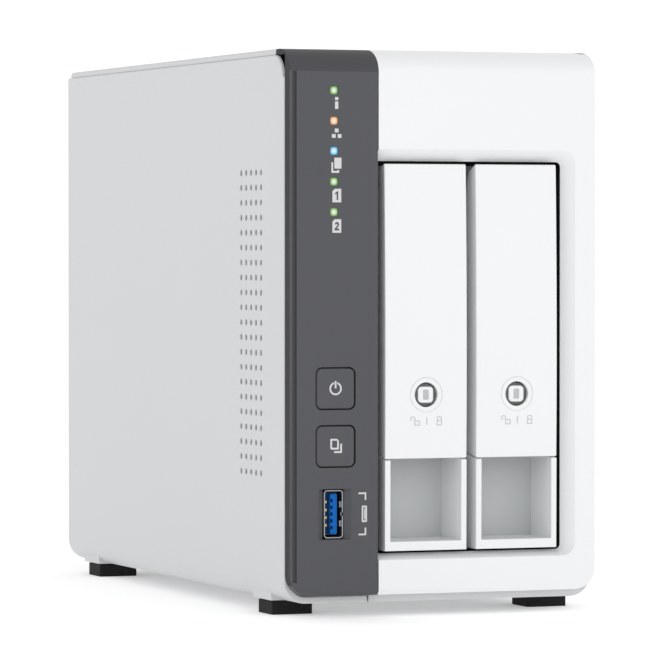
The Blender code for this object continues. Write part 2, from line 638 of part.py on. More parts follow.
def make_buttons():
    """Square button caps with a retaining flange and a stem that reaches the switch."""
    half = BUTTON_SIZE / 2
    for name, height in (("power_button", POWER_Z), ("copy_button", COPY_Z)):
        low, high = (CONTROL_X - half, height - half), (CONTROL_X + half, height + half)
        cap = prism(name, "Y", rounded(low, high, BUTTON_CORNER), (0.1, 4.0), "dark_plastic")
        low, high = (CONTROL_X - half - 1, 2.8, height - half - 1), (CONTROL_X + half + 1, 4.2, height + half + 1)
        fuse(cap, box(f"{name}_flange", low, high))
        low, high = (CONTROL_X - 1.5, 4.0, height - 1.5), (CONTROL_X + 1.5, 9.1, height + 1.5)
        fuse(cap, box(f"{name}_stem", low, high))


def make_tray(number, centre):
    """Sled that holds a drive: front box with the finger recess, two rails and side straps."""
    left, right = centre - TRAY_HALF, centre + TRAY_HALF
    frame_front = LEVER_DEPTH + 0.5
    tray = box(
        f"tray_{number}_body",
        (left, frame_front, TRAY_BOTTOM),
        (right, TRAY_FRONT_DEPTH, TRAY_TOP - 0.4),
        "white_plastic",
    )
    slope = [(0.4, TRAY_BOTTOM), (10.5, TRAY_BOTTOM), (10.5, TRAY_SEAM + 1.6), (0.2, TRAY_SEAM - 0.2)]
    fuse(tray, prism(f"tray_{number}_recess_block", "X", slope, (left + 0.01, right - 0.01)))
    wall = 2.0
    inside = (left + wall, -1.0, TRAY_BOTTOM + 2.6), (right - wall, 16.0, TRAY_TOP - 2.4)
    cut(tray, box(f"tray_{number}_recess", *inside))
    swing = (left - 1, frame_front - 1, LEVER_PIVOT_Z - 3.0), (right + 1, LEVER_SWING_ROOM, TRAY_TOP + 1)
    cut(tray, box(f"tray_{number}_swing_room", *swing))
    spots = [(LEVER_PIVOT_Y, LEVER_PIVOT_Z)]
    for index, span in enumerate(((left + 1.9, left + 4.0), (right - 4.0, right - 1.9)), 1):
        fuse(tray, rods(f"tray_{number}_ear_{index}", "X", EAR_RADIUS, span, spots, sides=16))
        low = (span[0] + 0.01, LEVER_PIVOT_Y, LEVER_PIVOT_Z - EAR_RADIUS + 0.05)
        high = (span[1] - 0.01, 17.0, LEVER_PIVOT_Z + EAR_RADIUS - 0.05)
        fuse(tray, box(f"tray_{number}_ear_bar_{index}", low, high))
    bore_radius = PIN_RADIUS + GAP
    cut(tray, rods(f"tray_{number}_pivot_bore", "X", bore_radius, (left, right), spots, sides=12))
    rail_left, rail_right = centre - 14.6, centre + 12.9
    drive_top = DRIVE_BOTTOM + DRIVE_HEIGHT
    solids = [
        ((rail_left, 17.0, 21.5), (rail_right, 171.0, DRIVE_BOTTOM - GAP)),
        ((rail_left, 17.0, drive_top + GAP), (rail_right, 171.0, 135.4)),
        ((rail_left + 0.01, 62.0, 22.0), (rail_left + 1.2, 74.0, 135.0)),
        ((rail_left + 0.01, 138.0, 22.0), (rail_left + 1.2, 150.0, 135.0)),
    ]
    for index, (low, high) in enumerate(solids, 1):
        fuse(tray, box(f"tray_{number}_rail_{index}", low, high))
    return tray


def lever_outline():
    """Side outline of a tray lever: bowed front plate, and a top that slopes down to the back."""
    back = [(LEVER_DEPTH, TRAY_SEAM + 1.9), (LEVER_DEPTH, 128.5), (6.4, TRAY_TOP - 2.1)]
    front = [(1.4, TRAY_TOP), (0.8, TRAY_TOP - 0.6), (0.35, 110.0), (0.05, 75.0), (0.15, TRAY_SEAM + GAP)]
    return back + front


def make_lever(number, centre):
    """Front plate of a tray with side flanges; it swings out at the bottom about its upper pin."""
    left, right = centre - TRAY_HALF, centre + TRAY_HALF
    lever = prism(f"tray_{number}_lever", "X", lever_outline(), (left, right), "white_plastic")
    cut(lever, box(f"lever_{number}_inside", (left + 1.6, 2.2, 40.0), (right - 1.6, 12.0, 140.0)))
    spots = [(LEVER_PIVOT_Y, LEVER_PIVOT_Z)]
    bore_radius = PIN_RADIUS + GAP
    cut(lever, rods(f"lever_{number}_pivot_bore", "X", bore_radius, (left - 1, right + 1), spots, sides=12))
    hole = rods(f"lever_{number}_lock_hole", "Y", LOCK_RADIUS + GAP, (-1, 4), [(centre, LOCK_Z)], sides=20)
    cut(lever, hole)
    span = (left + 0.3, right - 0.3)
    smooth(rods(f"tray_{number}_lever_pin", "X", PIN_RADIUS, span, spots, "bright_steel", 12))
    return smooth(lever)


def make_lock(number, centre):
    """Rotary lock in the lever: round head with a slot, a collar behind the plate and a cam arm."""
    spots = [(centre, LOCK_Z)]
    lock = rods(f"tray_{number}_lock", "Y", LOCK_RADIUS, (0.5, 2.8), spots, "dark_plastic", 20)
    fuse(lock, rods(f"lock_{number}_collar", "Y", LOCK_RADIUS + 1.2, (2.6, 3.8), spots, sides=20))
    fuse(lock, rods(f"lock_{number}_shank", "Y", 2.0, (3.6, 7.4), spots, sides=12))
    fuse(lock, box(f"lock_{number}_cam", (centre - 1.6, 6.0, LOCK_Z - 9.0), (centre + 1.6, 7.2, LOCK_Z + 1.9)))
    cut(lock, box(f"lock_{number}_slot", (centre - 0.6, 0.0, LOCK_Z - 2.6), (centre + 0.6, 1.3, LOCK_Z + 2.6)))
    return smooth(lock)


def make_drive(number, centre):
    """A 3.5 inch hard drive: cast body with a raised lid and a notch for its connector."""
    half = DRIVE_THICKNESS / 2
    rear, top = DRIVE_FRONT + DRIVE_LENGTH, DRIVE_BOTTOM + DRIVE_HEIGHT
    low, high = (centre - half, DRIVE_FRONT, DRIVE_BOTTOM), (centre + half - 1.2, rear, top)
    drive = box(f"drive_{number}", low, high, "cast_aluminium")
    low = (centre, DRIVE_FRONT + 4.0, DRIVE_BOTTOM + 3.0)
    high = (centre + half, rear - 18.0, top - 3.0)
    fuse(drive, box(f"drive_{number}_lid", low, high))
    notch = (centre - 10.6, rear - 6.5, 37.2), (centre - 3.9, rear + 1.0, 80.8)
    cut(drive, box(f"drive_{number}_notch", *notch))
    return drive


def make_screws():
    rear = REAR_FRONT + REAR_THICKNESS + 0.2
    for name, centre in SCREW_PLACES.items():
        join_screw(name, "Y", rear, 207.0, centre, 1.5, 3.0, 1.2)
    for number, centre in enumerate(fan_corners(), 1):
        join_screw(f"fan_screw_{number}", "Y", rear, 203.0, centre, 1.8, 3.4, 1.2)
    for number, centre in enumerate(BOARD_HOLES, 1):
        join_screw(f"board_screw_{number}", "X", BOARD_LEFT - GAP, 26.8, centre, 1.4, 2.8, 1.6)


def join_screw(name, axis, under_head, tip, centre, radius, head_radius, head_height):
    """A pan-head screw, its shank running from under the head to its tip."""
    outward = 1 if under_head > tip else -1
    shank_span = sorted((tip, under_head + outward * head_height / 2))
    head_span = sorted((under_head, under_head + outward * head_height))
    shank = rods(name, axis, radius, shank_span, [centre], "bright_steel", 10)
    fuse(shank, rods(name + "_head", axis, head_radius, head_span, [centre], sides=12))


# ---------------------------------------------------------------- joints


def hang(joint, place, pieces, parent=None):
    """Parent the moving pieces to an empty that stands on their joint's axis."""
    pivot = bpy.data.objects.new(joint, None)
    pivot.empty_display_size = 5 * MM
    PARTS.objects.link(pivot)
    pivot.location = (Vector(place) - ORIGIN) * MM
    bpy.context.view_layer.update()
    if parent:
        pivot.parent = parent
        pivot.matrix_parent_inverse = parent.matrix_world.inverted()
    for name in pieces:
        piece = bpy.data.objects[name]
        piece.parent = pivot
        piece.matrix_parent_inverse = Matrix.Translation(pivot.location).inverted()
    return pivot


def add_joints():
    for number, centre in enumerate(TRAY_CENTRES, 1):
        pieces = [f"tray_{number}_body", f"tray_{number}_lever_pin", f"drive_{number}"]
        tray = hang(f"tray_{number}_slide", (centre, 0.0, TRAY_BOTTOM), pieces)
        place = (centre, LEVER_PIVOT_Y, LEVER_PIVOT_Z)
        lever = hang(f"tray_{number}_lever_hinge", place, [f"tray_{number}_lever"], tray)
        hang(f"tray_{number}_lock_turn", (centre, 0.5, LOCK_Z), [f"tray_{number}_lock"], lever)
    hang("power_button_press", (CONTROL_X, 0.1, POWER_Z), ["power_button"])
    hang("copy_button_press", (CONTROL_X, 0.1, COPY_Z), ["copy_button"])
    hang("reset_button_press", (RESET_X, 217.8, RESET_Z), ["reset_button"])
    hang("fan_spin", (FAN_X, FAN_FRONT + 11.0, FAN_Z), ["fan_rotor"])


def main():
    make_left_cover()
    make_main_housing()
    make_front_bezel()
    make_indicator_panel()
    make_rear_panel()
    make_feet()
    make_drive_cage()
    make_guides()
    make_mainboard()
    make_rear_ports()
    make_backplane()
    make_front_board()
    make_fan()
    make_buttons()
    for number, centre in enumerate(TRAY_CENTRES, 1):
        make_tray(number, centre)
        make_lever(number, centre)
        make_lock(number, centre)
        make_drive(number, centre)
    make_screws()
    add_joints()


main()
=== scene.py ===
"""Two-bay desktop network attached storage: the looks of each piece, and a plain studio around it.

Sizes are millimetres, measured from the left side (x), the front face (y) and a level a little above
the ground (z), as in the fixed frame; the ground is at GROUND. Registering the file adds an operator
for each piece or group of like pieces, and a panel that lists them.
"""

from math import cos, pi, radians, sin

import bmesh
import bpy
from mathutils import Matrix, Vector


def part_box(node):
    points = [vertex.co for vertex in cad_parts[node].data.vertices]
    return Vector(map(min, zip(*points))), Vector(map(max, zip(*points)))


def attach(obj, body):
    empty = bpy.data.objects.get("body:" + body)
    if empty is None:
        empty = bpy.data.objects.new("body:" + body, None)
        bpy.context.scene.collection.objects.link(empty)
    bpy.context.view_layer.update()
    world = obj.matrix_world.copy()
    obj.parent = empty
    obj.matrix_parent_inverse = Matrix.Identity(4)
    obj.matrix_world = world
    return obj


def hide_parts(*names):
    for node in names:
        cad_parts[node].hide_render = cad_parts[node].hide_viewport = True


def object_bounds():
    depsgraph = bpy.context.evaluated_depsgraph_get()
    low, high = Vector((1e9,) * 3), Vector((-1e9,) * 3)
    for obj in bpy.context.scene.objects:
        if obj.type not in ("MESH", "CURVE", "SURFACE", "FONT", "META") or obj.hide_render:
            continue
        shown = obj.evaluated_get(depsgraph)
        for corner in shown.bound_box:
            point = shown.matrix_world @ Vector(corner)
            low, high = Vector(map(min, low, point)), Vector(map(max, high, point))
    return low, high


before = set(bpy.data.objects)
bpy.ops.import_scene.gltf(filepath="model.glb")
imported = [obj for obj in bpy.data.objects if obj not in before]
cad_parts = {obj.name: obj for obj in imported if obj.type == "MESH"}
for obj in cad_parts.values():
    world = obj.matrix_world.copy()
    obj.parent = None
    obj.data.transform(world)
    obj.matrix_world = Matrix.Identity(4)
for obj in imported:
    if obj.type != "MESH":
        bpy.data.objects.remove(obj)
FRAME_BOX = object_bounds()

bl_info = {
    "name": "Network Attached Storage Looks",
    "version": (1, 0, 0),
    "blender": (4, 5, 0),
    "location": "View3D > Sidebar > Storage",
    "description": "Builds the detailed shells, trays, controls, ports and studio of a two-bay storage box",
    "category": "Object",
}

MM = 0.001
CORNER = FRAME_BOX[0]
GROUND = -0.6
TO_FRAME = Matrix.Translation(CORNER) @ Matrix.Scale(MM, 4) @ Matrix.Translation((0, 0, -GROUND))
FROM_FRAME = TO_FRAME.inverted()
WIDTH, DEPTH, HEIGHT = FROM_FRAME @ Vector(FRAME_BOX[1])

WALL = 2.2
BASE = 3.85
EDGE_RADIUS = 7.0
SIDE_TOP = 170.2
SIDE_FRONT = 4.0
SIDE_CORNER = 6.8
TOP_FRONT = 13.0
TOP_REAR = 218.8
SEAM_X = 27.35
GAP = 0.3
BROW_DEPTH = 10.0
BROW_HEIGHT = 7.0
FOOT_SIZE = (13.2, 12.5)
FOOT_LEFTS = (2.1, 87.0)
FOOT_FRONTS = (20.0, 191.0)
BOSS_TOP = 8.5
VENT_START = (24.1, 42.6)
TAB_SPAN = (206.0, 216.1)
SCREW_HOLE = 1.9
LAMP_HEIGHTS = (159.3, 150.1, 141.0, 131.7, 122.5)


def node_box(node):
    """Lowest and highest corner of a node, in millimetres from the frame's corner."""
    low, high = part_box(node)
    return FROM_FRAME @ Vector(low), FROM_FRAME @ Vector(high)


# ---------------------------------------------------------------- settings


class StorageFinish(bpy.types.PropertyGroup):
    """Colours of the mouldings and the printed marks."""

    def colour(name, description, default):
        return bpy.props.FloatVectorProperty(
            name=name, description=description, default=default, size=3, min=0, max=1, subtype="COLOR"
        )

    bezel_white: colour("Bezel", "White of the front frame and the trays", (0.83, 0.842, 0.85))
    # painted shade: the covers get a grey darker than the bezel white, standing in for the dimmer light on
    # their sides
    shell_grey: colour("Shell", "Pale grey of the covers", (0.605, 0.612, 0.622))
    strip_dark: colour("Strip", "Dark grey of the indicator strip and its buttons", (0.083, 0.0845, 0.093))
    print_white: colour("Print", "White of the printed marks", (0.64, 0.64, 0.645))
    lamp_green: colour("Green lamp", "Colour of the lamps that show normal running", (0.2, 0.48, 0.09))
    lamp_amber: colour("Amber lamp", "Colour of the network lamp", (0.84, 0.38, 0.11))
    lamp_blue: colour("Blue lamp", "Colour of the copy lamp", (0.09, 0.52, 0.82))


class StorageSizes(bpy.types.PropertyGroup):
    """Sizes of the fine details, in millimetres."""

    def size(name, description, default):
        return bpy.props.FloatProperty(name=name, description=description, default=default, min=0.01)

    edge_round: size("Edge round", "Rounding of the mouldings' edges", 0.8)
    vent_diameter: size("Vent hole", "Diameter of a side vent hole", 1.95)
    vent_pitch_deep: size("Vent column pitch", "Spacing of the vent holes along the depth", 4.48)
    vent_pitch_high: size("Vent row pitch", "Spacing of the vent holes up the side", 4.61)
    grille_pitch: size("Grille pitch", "Spacing of the rear grille's holes", 8.2)
    grille_hole: size("Grille hole", "Corner-to-corner radius of a grille hole", 3.6)
    print_height: size("Print height", "How far a printed mark stands proud", 0.03)
    vent_columns: bpy.props.IntProperty(
        name="Vent columns", description="Vent holes in a row", default=5, min=1
    )
    vent_rows: bpy.props.IntProperty(name="Vent rows", description="Rows of vent holes", default=21, min=1)


class StorageStage(bpy.types.PropertyGroup):
    """Camera and light."""

    def setting(name, description, default, **options):
        return bpy.props.FloatProperty(name=name, description=description, default=default, **options)

    azimuth: setting("Azimuth", "Camera's turn to the left of the front", radians(20.81), subtype="ANGLE")
    elevation: setting("Elevation", "Camera's height above the horizon", radians(1.08), subtype="ANGLE")
    distance: setting("Distance", "From the camera to the point it looks at", 1.3726, unit="LENGTH")
    lens: setting("Lens", "Focal length in millimetres", 246.87, min=1)
    aim: bpy.props.FloatVectorProperty(
        name="Aim",
        description="Point looked at, in millimetres from the frame's corner",
        default=(13.75, -0.06, 86.55),
    )
    ambient: setting("Ambient", "Strength of the light from all round", 1.11)
    floor_glow: setting("Floor glow", "Lifts the floor towards white", 0.24)
    overhead: setting("Overhead", "Brightness of the light from above", 0.7)
    key: setting("Key light", "Power of the front light", 1.7, unit="POWER")
    top: setting("Top light", "Power of the light above", 0.5, unit="POWER")


# ---------------------------------------------------------------- shapes


def axis_matrix(axis):
    """Turns a shape that stands on Z so that it lies along the axis."""
    return {
        "X": Matrix.Rotation(radians(90), 4, "Y"),
        "Y": Matrix.Rotation(radians(-90), 4, "X"),
        "Z": Matrix.Identity(4),
    }[axis]


def spot(axis, along, across, up):
    """A point from its distance along an axis and its place across it."""
    return {"X": (along, across, up), "Y": (across, along, up), "Z": (across, up, along)}[axis]


def arc(centre, radius, start, end, steps=12):
    """Points on an arc, in degrees anticlockwise."""
    angles = (radians(start + (end - start) * i / steps) for i in range(steps + 1))
    return [(centre[0] + radius * cos(a), centre[1] + radius * sin(a)) for a in angles]


def rounded(low, high, radius, steps=6):
    """Outline of a rectangle with round corners."""
    (left, bottom), (right, top) = low, high
    return (
        arc((right - radius, top - radius), radius, 0, 90, steps)
        + arc((left + radius, top - radius), radius, 90, 180, steps)
        + arc((left + radius, bottom + radius), radius, 180, 270, steps)
        + arc((right - radius, bottom + radius), radius, 270, 360, steps)
    )


def add_block(bm, low, high):
    low, high = Vector(low), Vector(high)
    matrix = Matrix.Translation((low + high) / 2) @ Matrix.Diagonal((*(high - low), 1.0))
    bmesh.ops.create_cube(bm, size=1.0, matrix=matrix)


def add_rod(bm, axis, radius, span, centre, sides=32):
    matrix = Matrix.Translation(spot(axis, sum(span) / 2, *centre)) @ axis_matrix(axis)
    length = span[1] - span[0]
    bmesh.ops.create_cone(
        bm, cap_ends=True, segments=sides, radius1=radius, radius2=radius, depth=length, matrix=matrix
    )


def add_prism(bm, axis, outline, span):
    """A flat outline extruded along an axis."""
    face = bm.faces.new([bm.verts.new(spot(axis, span[0], *point)) for point in outline])
    made = bmesh.ops.extrude_face_region(bm, geom=[face])["geom"]
    moved = [part for part in made if isinstance(part, bmesh.types.BMVert)]
    bmesh.ops.translate(bm, vec=spot(axis, span[1] - span[0], 0, 0), verts=moved)


def add_loft(bm, axis, near, near_at, far, far_at):
    """A closed solid between two outlines of the same number of points."""
    loops = []
    for outline, along in ((near, near_at), (far, far_at)):
        verts = [bm.verts.new(spot(axis, along, *point)) for point in outline]
        loops.append(bm.faces.new(verts))
    edges = [edge for face in loops for edge in face.edges]
    bmesh.ops.bridge_loops(bm, edges=edges)


def add_turned(bm, axis, profile, centre, steps=32):
    """A profile of (radius, along) points spun round an axis; its ends meet the axis."""
    verts = [bm.verts.new(spot(axis, along, centre[0] + radius, centre[1])) for radius, along in profile]
    edges = [bm.edges.new(pair) for pair in zip(verts, verts[1:])]
    bmesh.ops.spin(
        bm,
        geom=verts + edges,
        cent=spot(axis, 0, *centre),
        axis=spot(axis, 1, 0, 0),
        angle=2 * pi,
        steps=steps,
        use_merge=True,
    )
    bmesh.ops.remove_doubles(bm, verts=bm.verts, dist=0.0005)


def solid(name, bm):
    """A scratch object in frame units, from a bmesh in millimetres."""
    bmesh.ops.recalc_face_normals(bm, faces=bm.faces)
    bmesh.ops.transform(bm, matrix=TO_FRAME, verts=bm.verts)
    mesh = bpy.data.meshes.new(name)
    bm.to_mesh(mesh)
    bm.free()
    made = bpy.data.objects.new(name, mesh)
    bpy.context.scene.collection.objects.link(made)
    return made


def blocks(name, corners):
    bm = bmesh.new()
    for low, high in corners:
        add_block(bm, low, high)
    return solid(name, bm)


def block(name, low, high):
    return blocks(name, [(low, high)])


def rods(name, axis, radius, span, centres, sides=32):
    bm = bmesh.new()
    for centre in centres:
        add_rod(bm, axis, radius, span, centre, sides)
    return solid(name, bm)


def rod(name, axis, radius, span, centre, sides=32):
    return rods(name, axis, radius, span, [centre], sides)


def turned(name, axis, profile, centre, steps=32):
    bm = bmesh.new()
    add_turned(bm, axis, profile, centre, steps)
    return solid(name, bm)


def prism(name, axis, outline, span):
    bm = bmesh.new()
    add_prism(bm, axis, outline, span)
    return solid(name, bm)


def settle(piece):
    """Make what the modifiers show into the piece's own mesh."""
    graph = bpy.context.evaluated_depsgraph_get()
    shown = piece.evaluated_get(graph)
    mesh = bpy.data.meshes.new_from_object(shown, preserve_all_data_layers=True, depsgraph=graph)
    old = piece.data
    piece.modifiers.clear()
    piece.data = mesh
    bpy.data.meshes.remove(old)
    mesh.name = piece.name
    return piece


def combine(piece, operation, tools):
    for tool in tools:
        modifier = piece.modifiers.new("combine", "BOOLEAN")
        modifier.operation = operation
        modifier.object = tool
    settle(piece)
    for tool in tools:
        mesh = tool.data
        bpy.data.objects.remove(tool, do_unlink=True)
        bpy.data.meshes.remove(mesh)
    return piece


def carve(piece, *tools):
    return combine(piece, "DIFFERENCE", tools)


def weld(piece, *tools):
    return combine(piece, "UNION", tools)


def soften(piece, width, segments=3, angle=30, chosen=None):
    """Round the edges that turn by more than the angle, or only those that the test picks."""
    bm = bmesh.new()
    bm.from_mesh(piece.data)
    bmesh.ops.remove_doubles(bm, verts=bm.verts, dist=0.002 * MM)
    bmesh.ops.dissolve_limit(bm, angle_limit=radians(0.06), verts=bm.verts, edges=bm.edges)
    limit = radians(angle)
    edges = [e for e in bm.edges if e.is_manifold and e.calc_face_angle() > limit]
    if chosen:
        edges = [e for e in edges if chosen(*(FROM_FRAME @ v.co for v in e.verts))]
    bmesh.ops.bevel(
        bm,
        geom=edges,
        offset=width * MM,
        offset_type="OFFSET",
        affect="EDGES",
        segments=segments,
        profile=0.5,
        material=-1,
        clamp_overlap=True,
    )
    bmesh.ops.remove_doubles(bm, verts=bm.verts, dist=0.001 * MM)
    bm.to_mesh(piece.data)
    bm.free()
    return piece


def finish_piece(piece, look, replaced=(), angle=38, body="enclosure"):
    """Shade a piece, give it the named finish, and let it ride on its body."""
    mesh = piece.data
    mesh.materials.clear()
    mesh.materials.append(finish(look))
    mesh.shade_smooth()
    mesh.set_sharp_from_angle(angle=radians(angle))
    weights = piece.modifiers.new("flat faces", "WEIGHTED_NORMAL")
    weights.keep_sharp = True
    settle(piece)
    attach(piece, body)
    if replaced:
        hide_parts(*replaced)
    return piece


def assign(piece, look, test):
    """Give another finish to the faces whose middle passes the test, in millimetres."""
    mesh = piece.data
    mesh.materials.append(finish(look))
    number = len(mesh.materials) - 1
    for polygon in mesh.polygons:
        if test(FROM_FRAME @ polygon.center):
            polygon.material_index = number


# ---------------------------------------------------------------- finishes


def new_group(name, inputs, outputs):
    group = bpy.data.node_groups.new(name, "ShaderNodeTree")
    for label, kind, value in inputs:
        socket = group.interface.new_socket(label, in_out="INPUT", socket_type=kind)
        socket.default_value = value
    for label, kind in outputs:
        group.interface.new_socket(label, in_out="OUTPUT", socket_type=kind)
    return group, group.nodes.new("NodeGroupInput"), group.nodes.new("NodeGroupOutput")


def add_node(tree, kind, links=(), **settings):
    """A node with its settings; a setting that names an input sets that input's value."""
    node = tree.nodes.new(kind)
    for name, value in settings.items():
        label = name.replace("_", " ").title()
        if hasattr(node, name):
            setattr(node, name, value)
        else:
            node.inputs[label].default_value = value
    for output, label in links:
        tree.links.new(output, node.inputs[label])
    return node


def surface_effect(name, pattern, stretch=(1, 1, 1)):
    """A shared finish: fine relief and a broad change of tone, from a pattern at a given scale."""
    found = bpy.data.node_groups.get(name)
    if found:
        return found
    group, given, result = new_group(
        name,
        [
            ("Colour", "NodeSocketColor", (0.5, 0.5, 0.5, 1.0)),
            ("Tone Change", "NodeSocketFloat", 0.04),
            ("Scale", "NodeSocketFloat", 1500.0),
            ("Depth", "NodeSocketFloat", 0.1),
            ("Roughness", "NodeSocketFloat", 0.5),
            ("Roughness Change", "NodeSocketFloat", 0.06),
        ],
        [("Colour", "NodeSocketColor"), ("Roughness", "NodeSocketFloat"), ("Normal", "NodeSocketVector")],
    )
    place = add_node(group, "ShaderNodeTexCoord")
    turned = add_node(group, "ShaderNodeMapping", [(place.outputs["Object"], "Vector")], scale=stretch)
    fine, tone = pattern(group, turned.outputs["Vector"], given.outputs["Scale"])
    bump = add_node(
        group, "ShaderNodeBump", [(given.outputs["Depth"], "Strength"), (fine, "Height")], distance=0.0002
    )
    low = add_node(group, "ShaderNodeMath", [(given.outputs["Tone Change"], 1)], operation="SUBTRACT")
    low.inputs[0].default_value = 1.0
    shade = add_node(
        group, "ShaderNodeMapRange", [(tone, "Value"), (low.outputs[0], "To Min")], from_min=0.3, from_max=0.7
    )
    tinted = add_node(group, "ShaderNodeVectorMath", [(given.outputs["Colour"], 0)], operation="SCALE")
    group.links.new(shade.outputs["Result"], tinted.inputs["Scale"])
    change = given.outputs["Roughness Change"]
    swing = add_node(group, "ShaderNodeMath", [(tone, 0), (change, 1)], operation="MULTIPLY")
    rough = add_node(
        group, "ShaderNodeMath", [(swing.outputs[0], 0), (given.outputs["Roughness"], 1)], operation="ADD"
    )
    group.links.new(tinted.outputs["Vector"], result.inputs["Colour"])
    group.links.new(rough.outputs[0], result.inputs["Roughness"])
    group.links.new(bump.outputs["Normal"], result.inputs["Normal"])
    return group


def noise(group, vector, scale, detail=3.0):
    return add_node(group, "ShaderNodeTexNoise", [(vector, "Vector"), (scale, "Scale")], detail=detail)


def grain_pattern(group, vector, scale):
    """The spark-eroded grain of a moulding."""
    fine = noise(group, vector, scale)
    broad = add_node(group, "ShaderNodeTexNoise", [(vector, "Vector")], scale=14.0, detail=2.0)
    return fine.outputs["Fac"], broad.outputs["Fac"]


def spangle_pattern(group, vector, scale):
    """The crystals of a zinc coat."""
    cells = add_node(group, "ShaderNodeTexVoronoi", [(vector, "Vector"), (scale, "Scale")])
    grey = add_node(group, "ShaderNodeSeparateColor", [(cells.outputs["Color"], "Color")])
    return grey.outputs["Red"], grey.outputs["Green"]


def line_pattern(group, vector, scale):
    """Fine lines left by rolling or turning."""
    lines = noise(group, vector, scale, detail=2.0)
    return lines.outputs["Fac"], lines.outputs["Fac"]


def trace_pattern(group, vector, scale):
    """Copper tracks under the lacquer of a circuit board."""
    links = [(vector, "Vector"), (scale, "Scale")]
    cells = add_node(group, "ShaderNodeTexVoronoi", links, distance="MANHATTAN", randomness=0.75)
    rings = add_node(group, "ShaderNodeMath", [(cells.outputs["Distance"], 0)], operation="MULTIPLY")
    rings.inputs[1].default_value = 26.0
    track = add_node(group, "ShaderNodeMath", [(rings.outputs[0], 0)], operation="SINE")
    return track.outputs[0], track.outputs[0]


EFFECTS = {
    "moulded_grain": (grain_pattern, (1, 1, 1)),
    "zinc_spangle": (spangle_pattern, (1, 1, 1)),
    "rolled_lines": (line_pattern, (1, 0.04, 1)),
    "board_tracks": (trace_pattern, (1, 1, 1)),
}

# name: (effect, colour, tone change, scale, depth, roughness, roughness change, metallic);
# a colour that is a word names the setting that holds it
FINISHES = {
    "satin_white": ("moulded_grain", "bezel_white", 0.012, 1500, 0.05, 0.38, 0.06, 0),
    # painted shade: darker than the bezel white to stand in for the dimmer light on the covers' sides
    "shell_grey": ("moulded_grain", "shell_grey", 0.014, 1300, 0.07, 0.44, 0.06, 0),
    "strip_grey": ("moulded_grain", "strip_dark", 0.05, 1600, 0.1, 0.46, 0.06, 0),
    # painted shade on the strip's round brow
    "strip_brow_painted_shade": ("moulded_grain", (0.07, 0.071, 0.078), 0.05, 1600, 0.1, 0.55, 0.06, 0),
    # painted shade on the strip's round left edge
    "strip_edge_painted_shade": ("moulded_grain", (0.036, 0.037, 0.041), 0.05, 1600, 0.1, 0.6, 0.06, 0),
    "key_grey": ("moulded_grain", (0.068, 0.0695, 0.077), 0.04, 1900, 0.08, 0.42, 0.06, 0),
    # painted shade in the groove
    "groove_painted_shade": ("moulded_grain", (0.032, 0.029, 0.035), 0.05, 1600, 0.08, 0.5, 0.05, 0),
    "print_white": ("moulded_grain", "print_white", 0.03, 2400, 0.03, 0.5, 0.05, 0),
    "relief_grey": ("moulded_grain", (0.56, 0.565, 0.57), 0.03, 2400, 0.03, 0.45, 0.05, 0),
    "black_moulding": ("moulded_grain", (0.022, 0.022, 0.024), 0.15, 1200, 0.12, 0.46, 0.1, 0),
    # painted shade: near black standing in for the shade in gaps and slots
    "painted_gap_shade": ("moulded_grain", (0.012, 0.012, 0.013), 0.1, 1200, 0.1, 0.6, 0.1, 0),
    # painted shade at the back of the tray's finger recess
    "recess_painted_shade": ("moulded_grain", (0.58, 0.595, 0.6), 0.012, 1500, 0.05, 0.5, 0.06, 0),
    # painted shade at the bottom of the key slot
    "slot_painted_shade": ("moulded_grain", (0.5, 0.51, 0.51), 0.03, 1700, 0.05, 0.45, 0.05, 0),
    "foot_rubber": ("moulded_grain", (0.012, 0.012, 0.012), 0.2, 900, 0.3, 0.72, 0.12, 0),
    "zinc_sheet": ("zinc_spangle", (0.56, 0.575, 0.59), 0.05, 420, 0.02, 0.34, 0.07, 1),
    "nickel": ("rolled_lines", (0.72, 0.71, 0.69), 0.08, 2600, 0.05, 0.2, 0.12, 1),
    "socket_steel": ("rolled_lines", (0.42, 0.42, 0.42), 0.08, 2600, 0.05, 0.24, 0.12, 1),
    "cast_metal": ("moulded_grain", (0.52, 0.535, 0.55), 0.1, 700, 0.3, 0.42, 0.12, 1),
    "brushed_lid": ("rolled_lines", (0.63, 0.64, 0.65), 0.12, 2200, 0.08, 0.28, 0.14, 1),
    "sink_metal": ("rolled_lines", (0.5, 0.52, 0.54), 0.1, 1500, 0.08, 0.36, 0.1, 1),
    "blue_tongue": ("moulded_grain", (0.001, 0.125, 0.47), 0.05, 1600, 0.06, 0.36, 0.06, 0),
    "deep_blue": ("moulded_grain", (0.003, 0.045, 0.16), 0.05, 1600, 0.06, 0.36, 0.06, 0),
    "gold": ("rolled_lines", (0.83, 0.6, 0.26), 0.08, 2600, 0.03, 0.22, 0.1, 1),
    "board_green": ("board_tracks", (0.012, 0.13, 0.06), 0.4, 120, 0.06, 0.34, 0.06, 0),
    "chip_epoxy": ("moulded_grain", (0.02, 0.02, 0.021), 0.1, 2600, 0.18, 0.5, 0.1, 0),
    "label_paper": ("moulded_grain", (0.78, 0.78, 0.76), 0.04, 1800, 0.05, 0.55, 0.05, 0),
    "label_band": ("moulded_grain", (0.09, 0.2, 0.33), 0.04, 1800, 0.05, 0.5, 0.05, 0),
    "lock_well": ("moulded_grain", (0.12, 0.125, 0.12), 0.05, 1700, 0.06, 0.45, 0.06, 0),
    "clear_guide": ("moulded_grain", (0.8, 0.84, 0.82), 0.03, 700, 0.04, 0.12, 0.05, 0),
}

# specular level of the finishes that shine less than a plain moulding
LOW_GLOSS = {
    "blue_tongue": 0.15,
    "strip_grey": 0.3,
    "strip_brow_painted_shade": 0.2,
    "strip_edge_painted_shade": 0.15,
    "painted_gap_shade": 0.1,
    "foot_rubber": 0.25,
}
PLAIN_GLOSS = 0.5


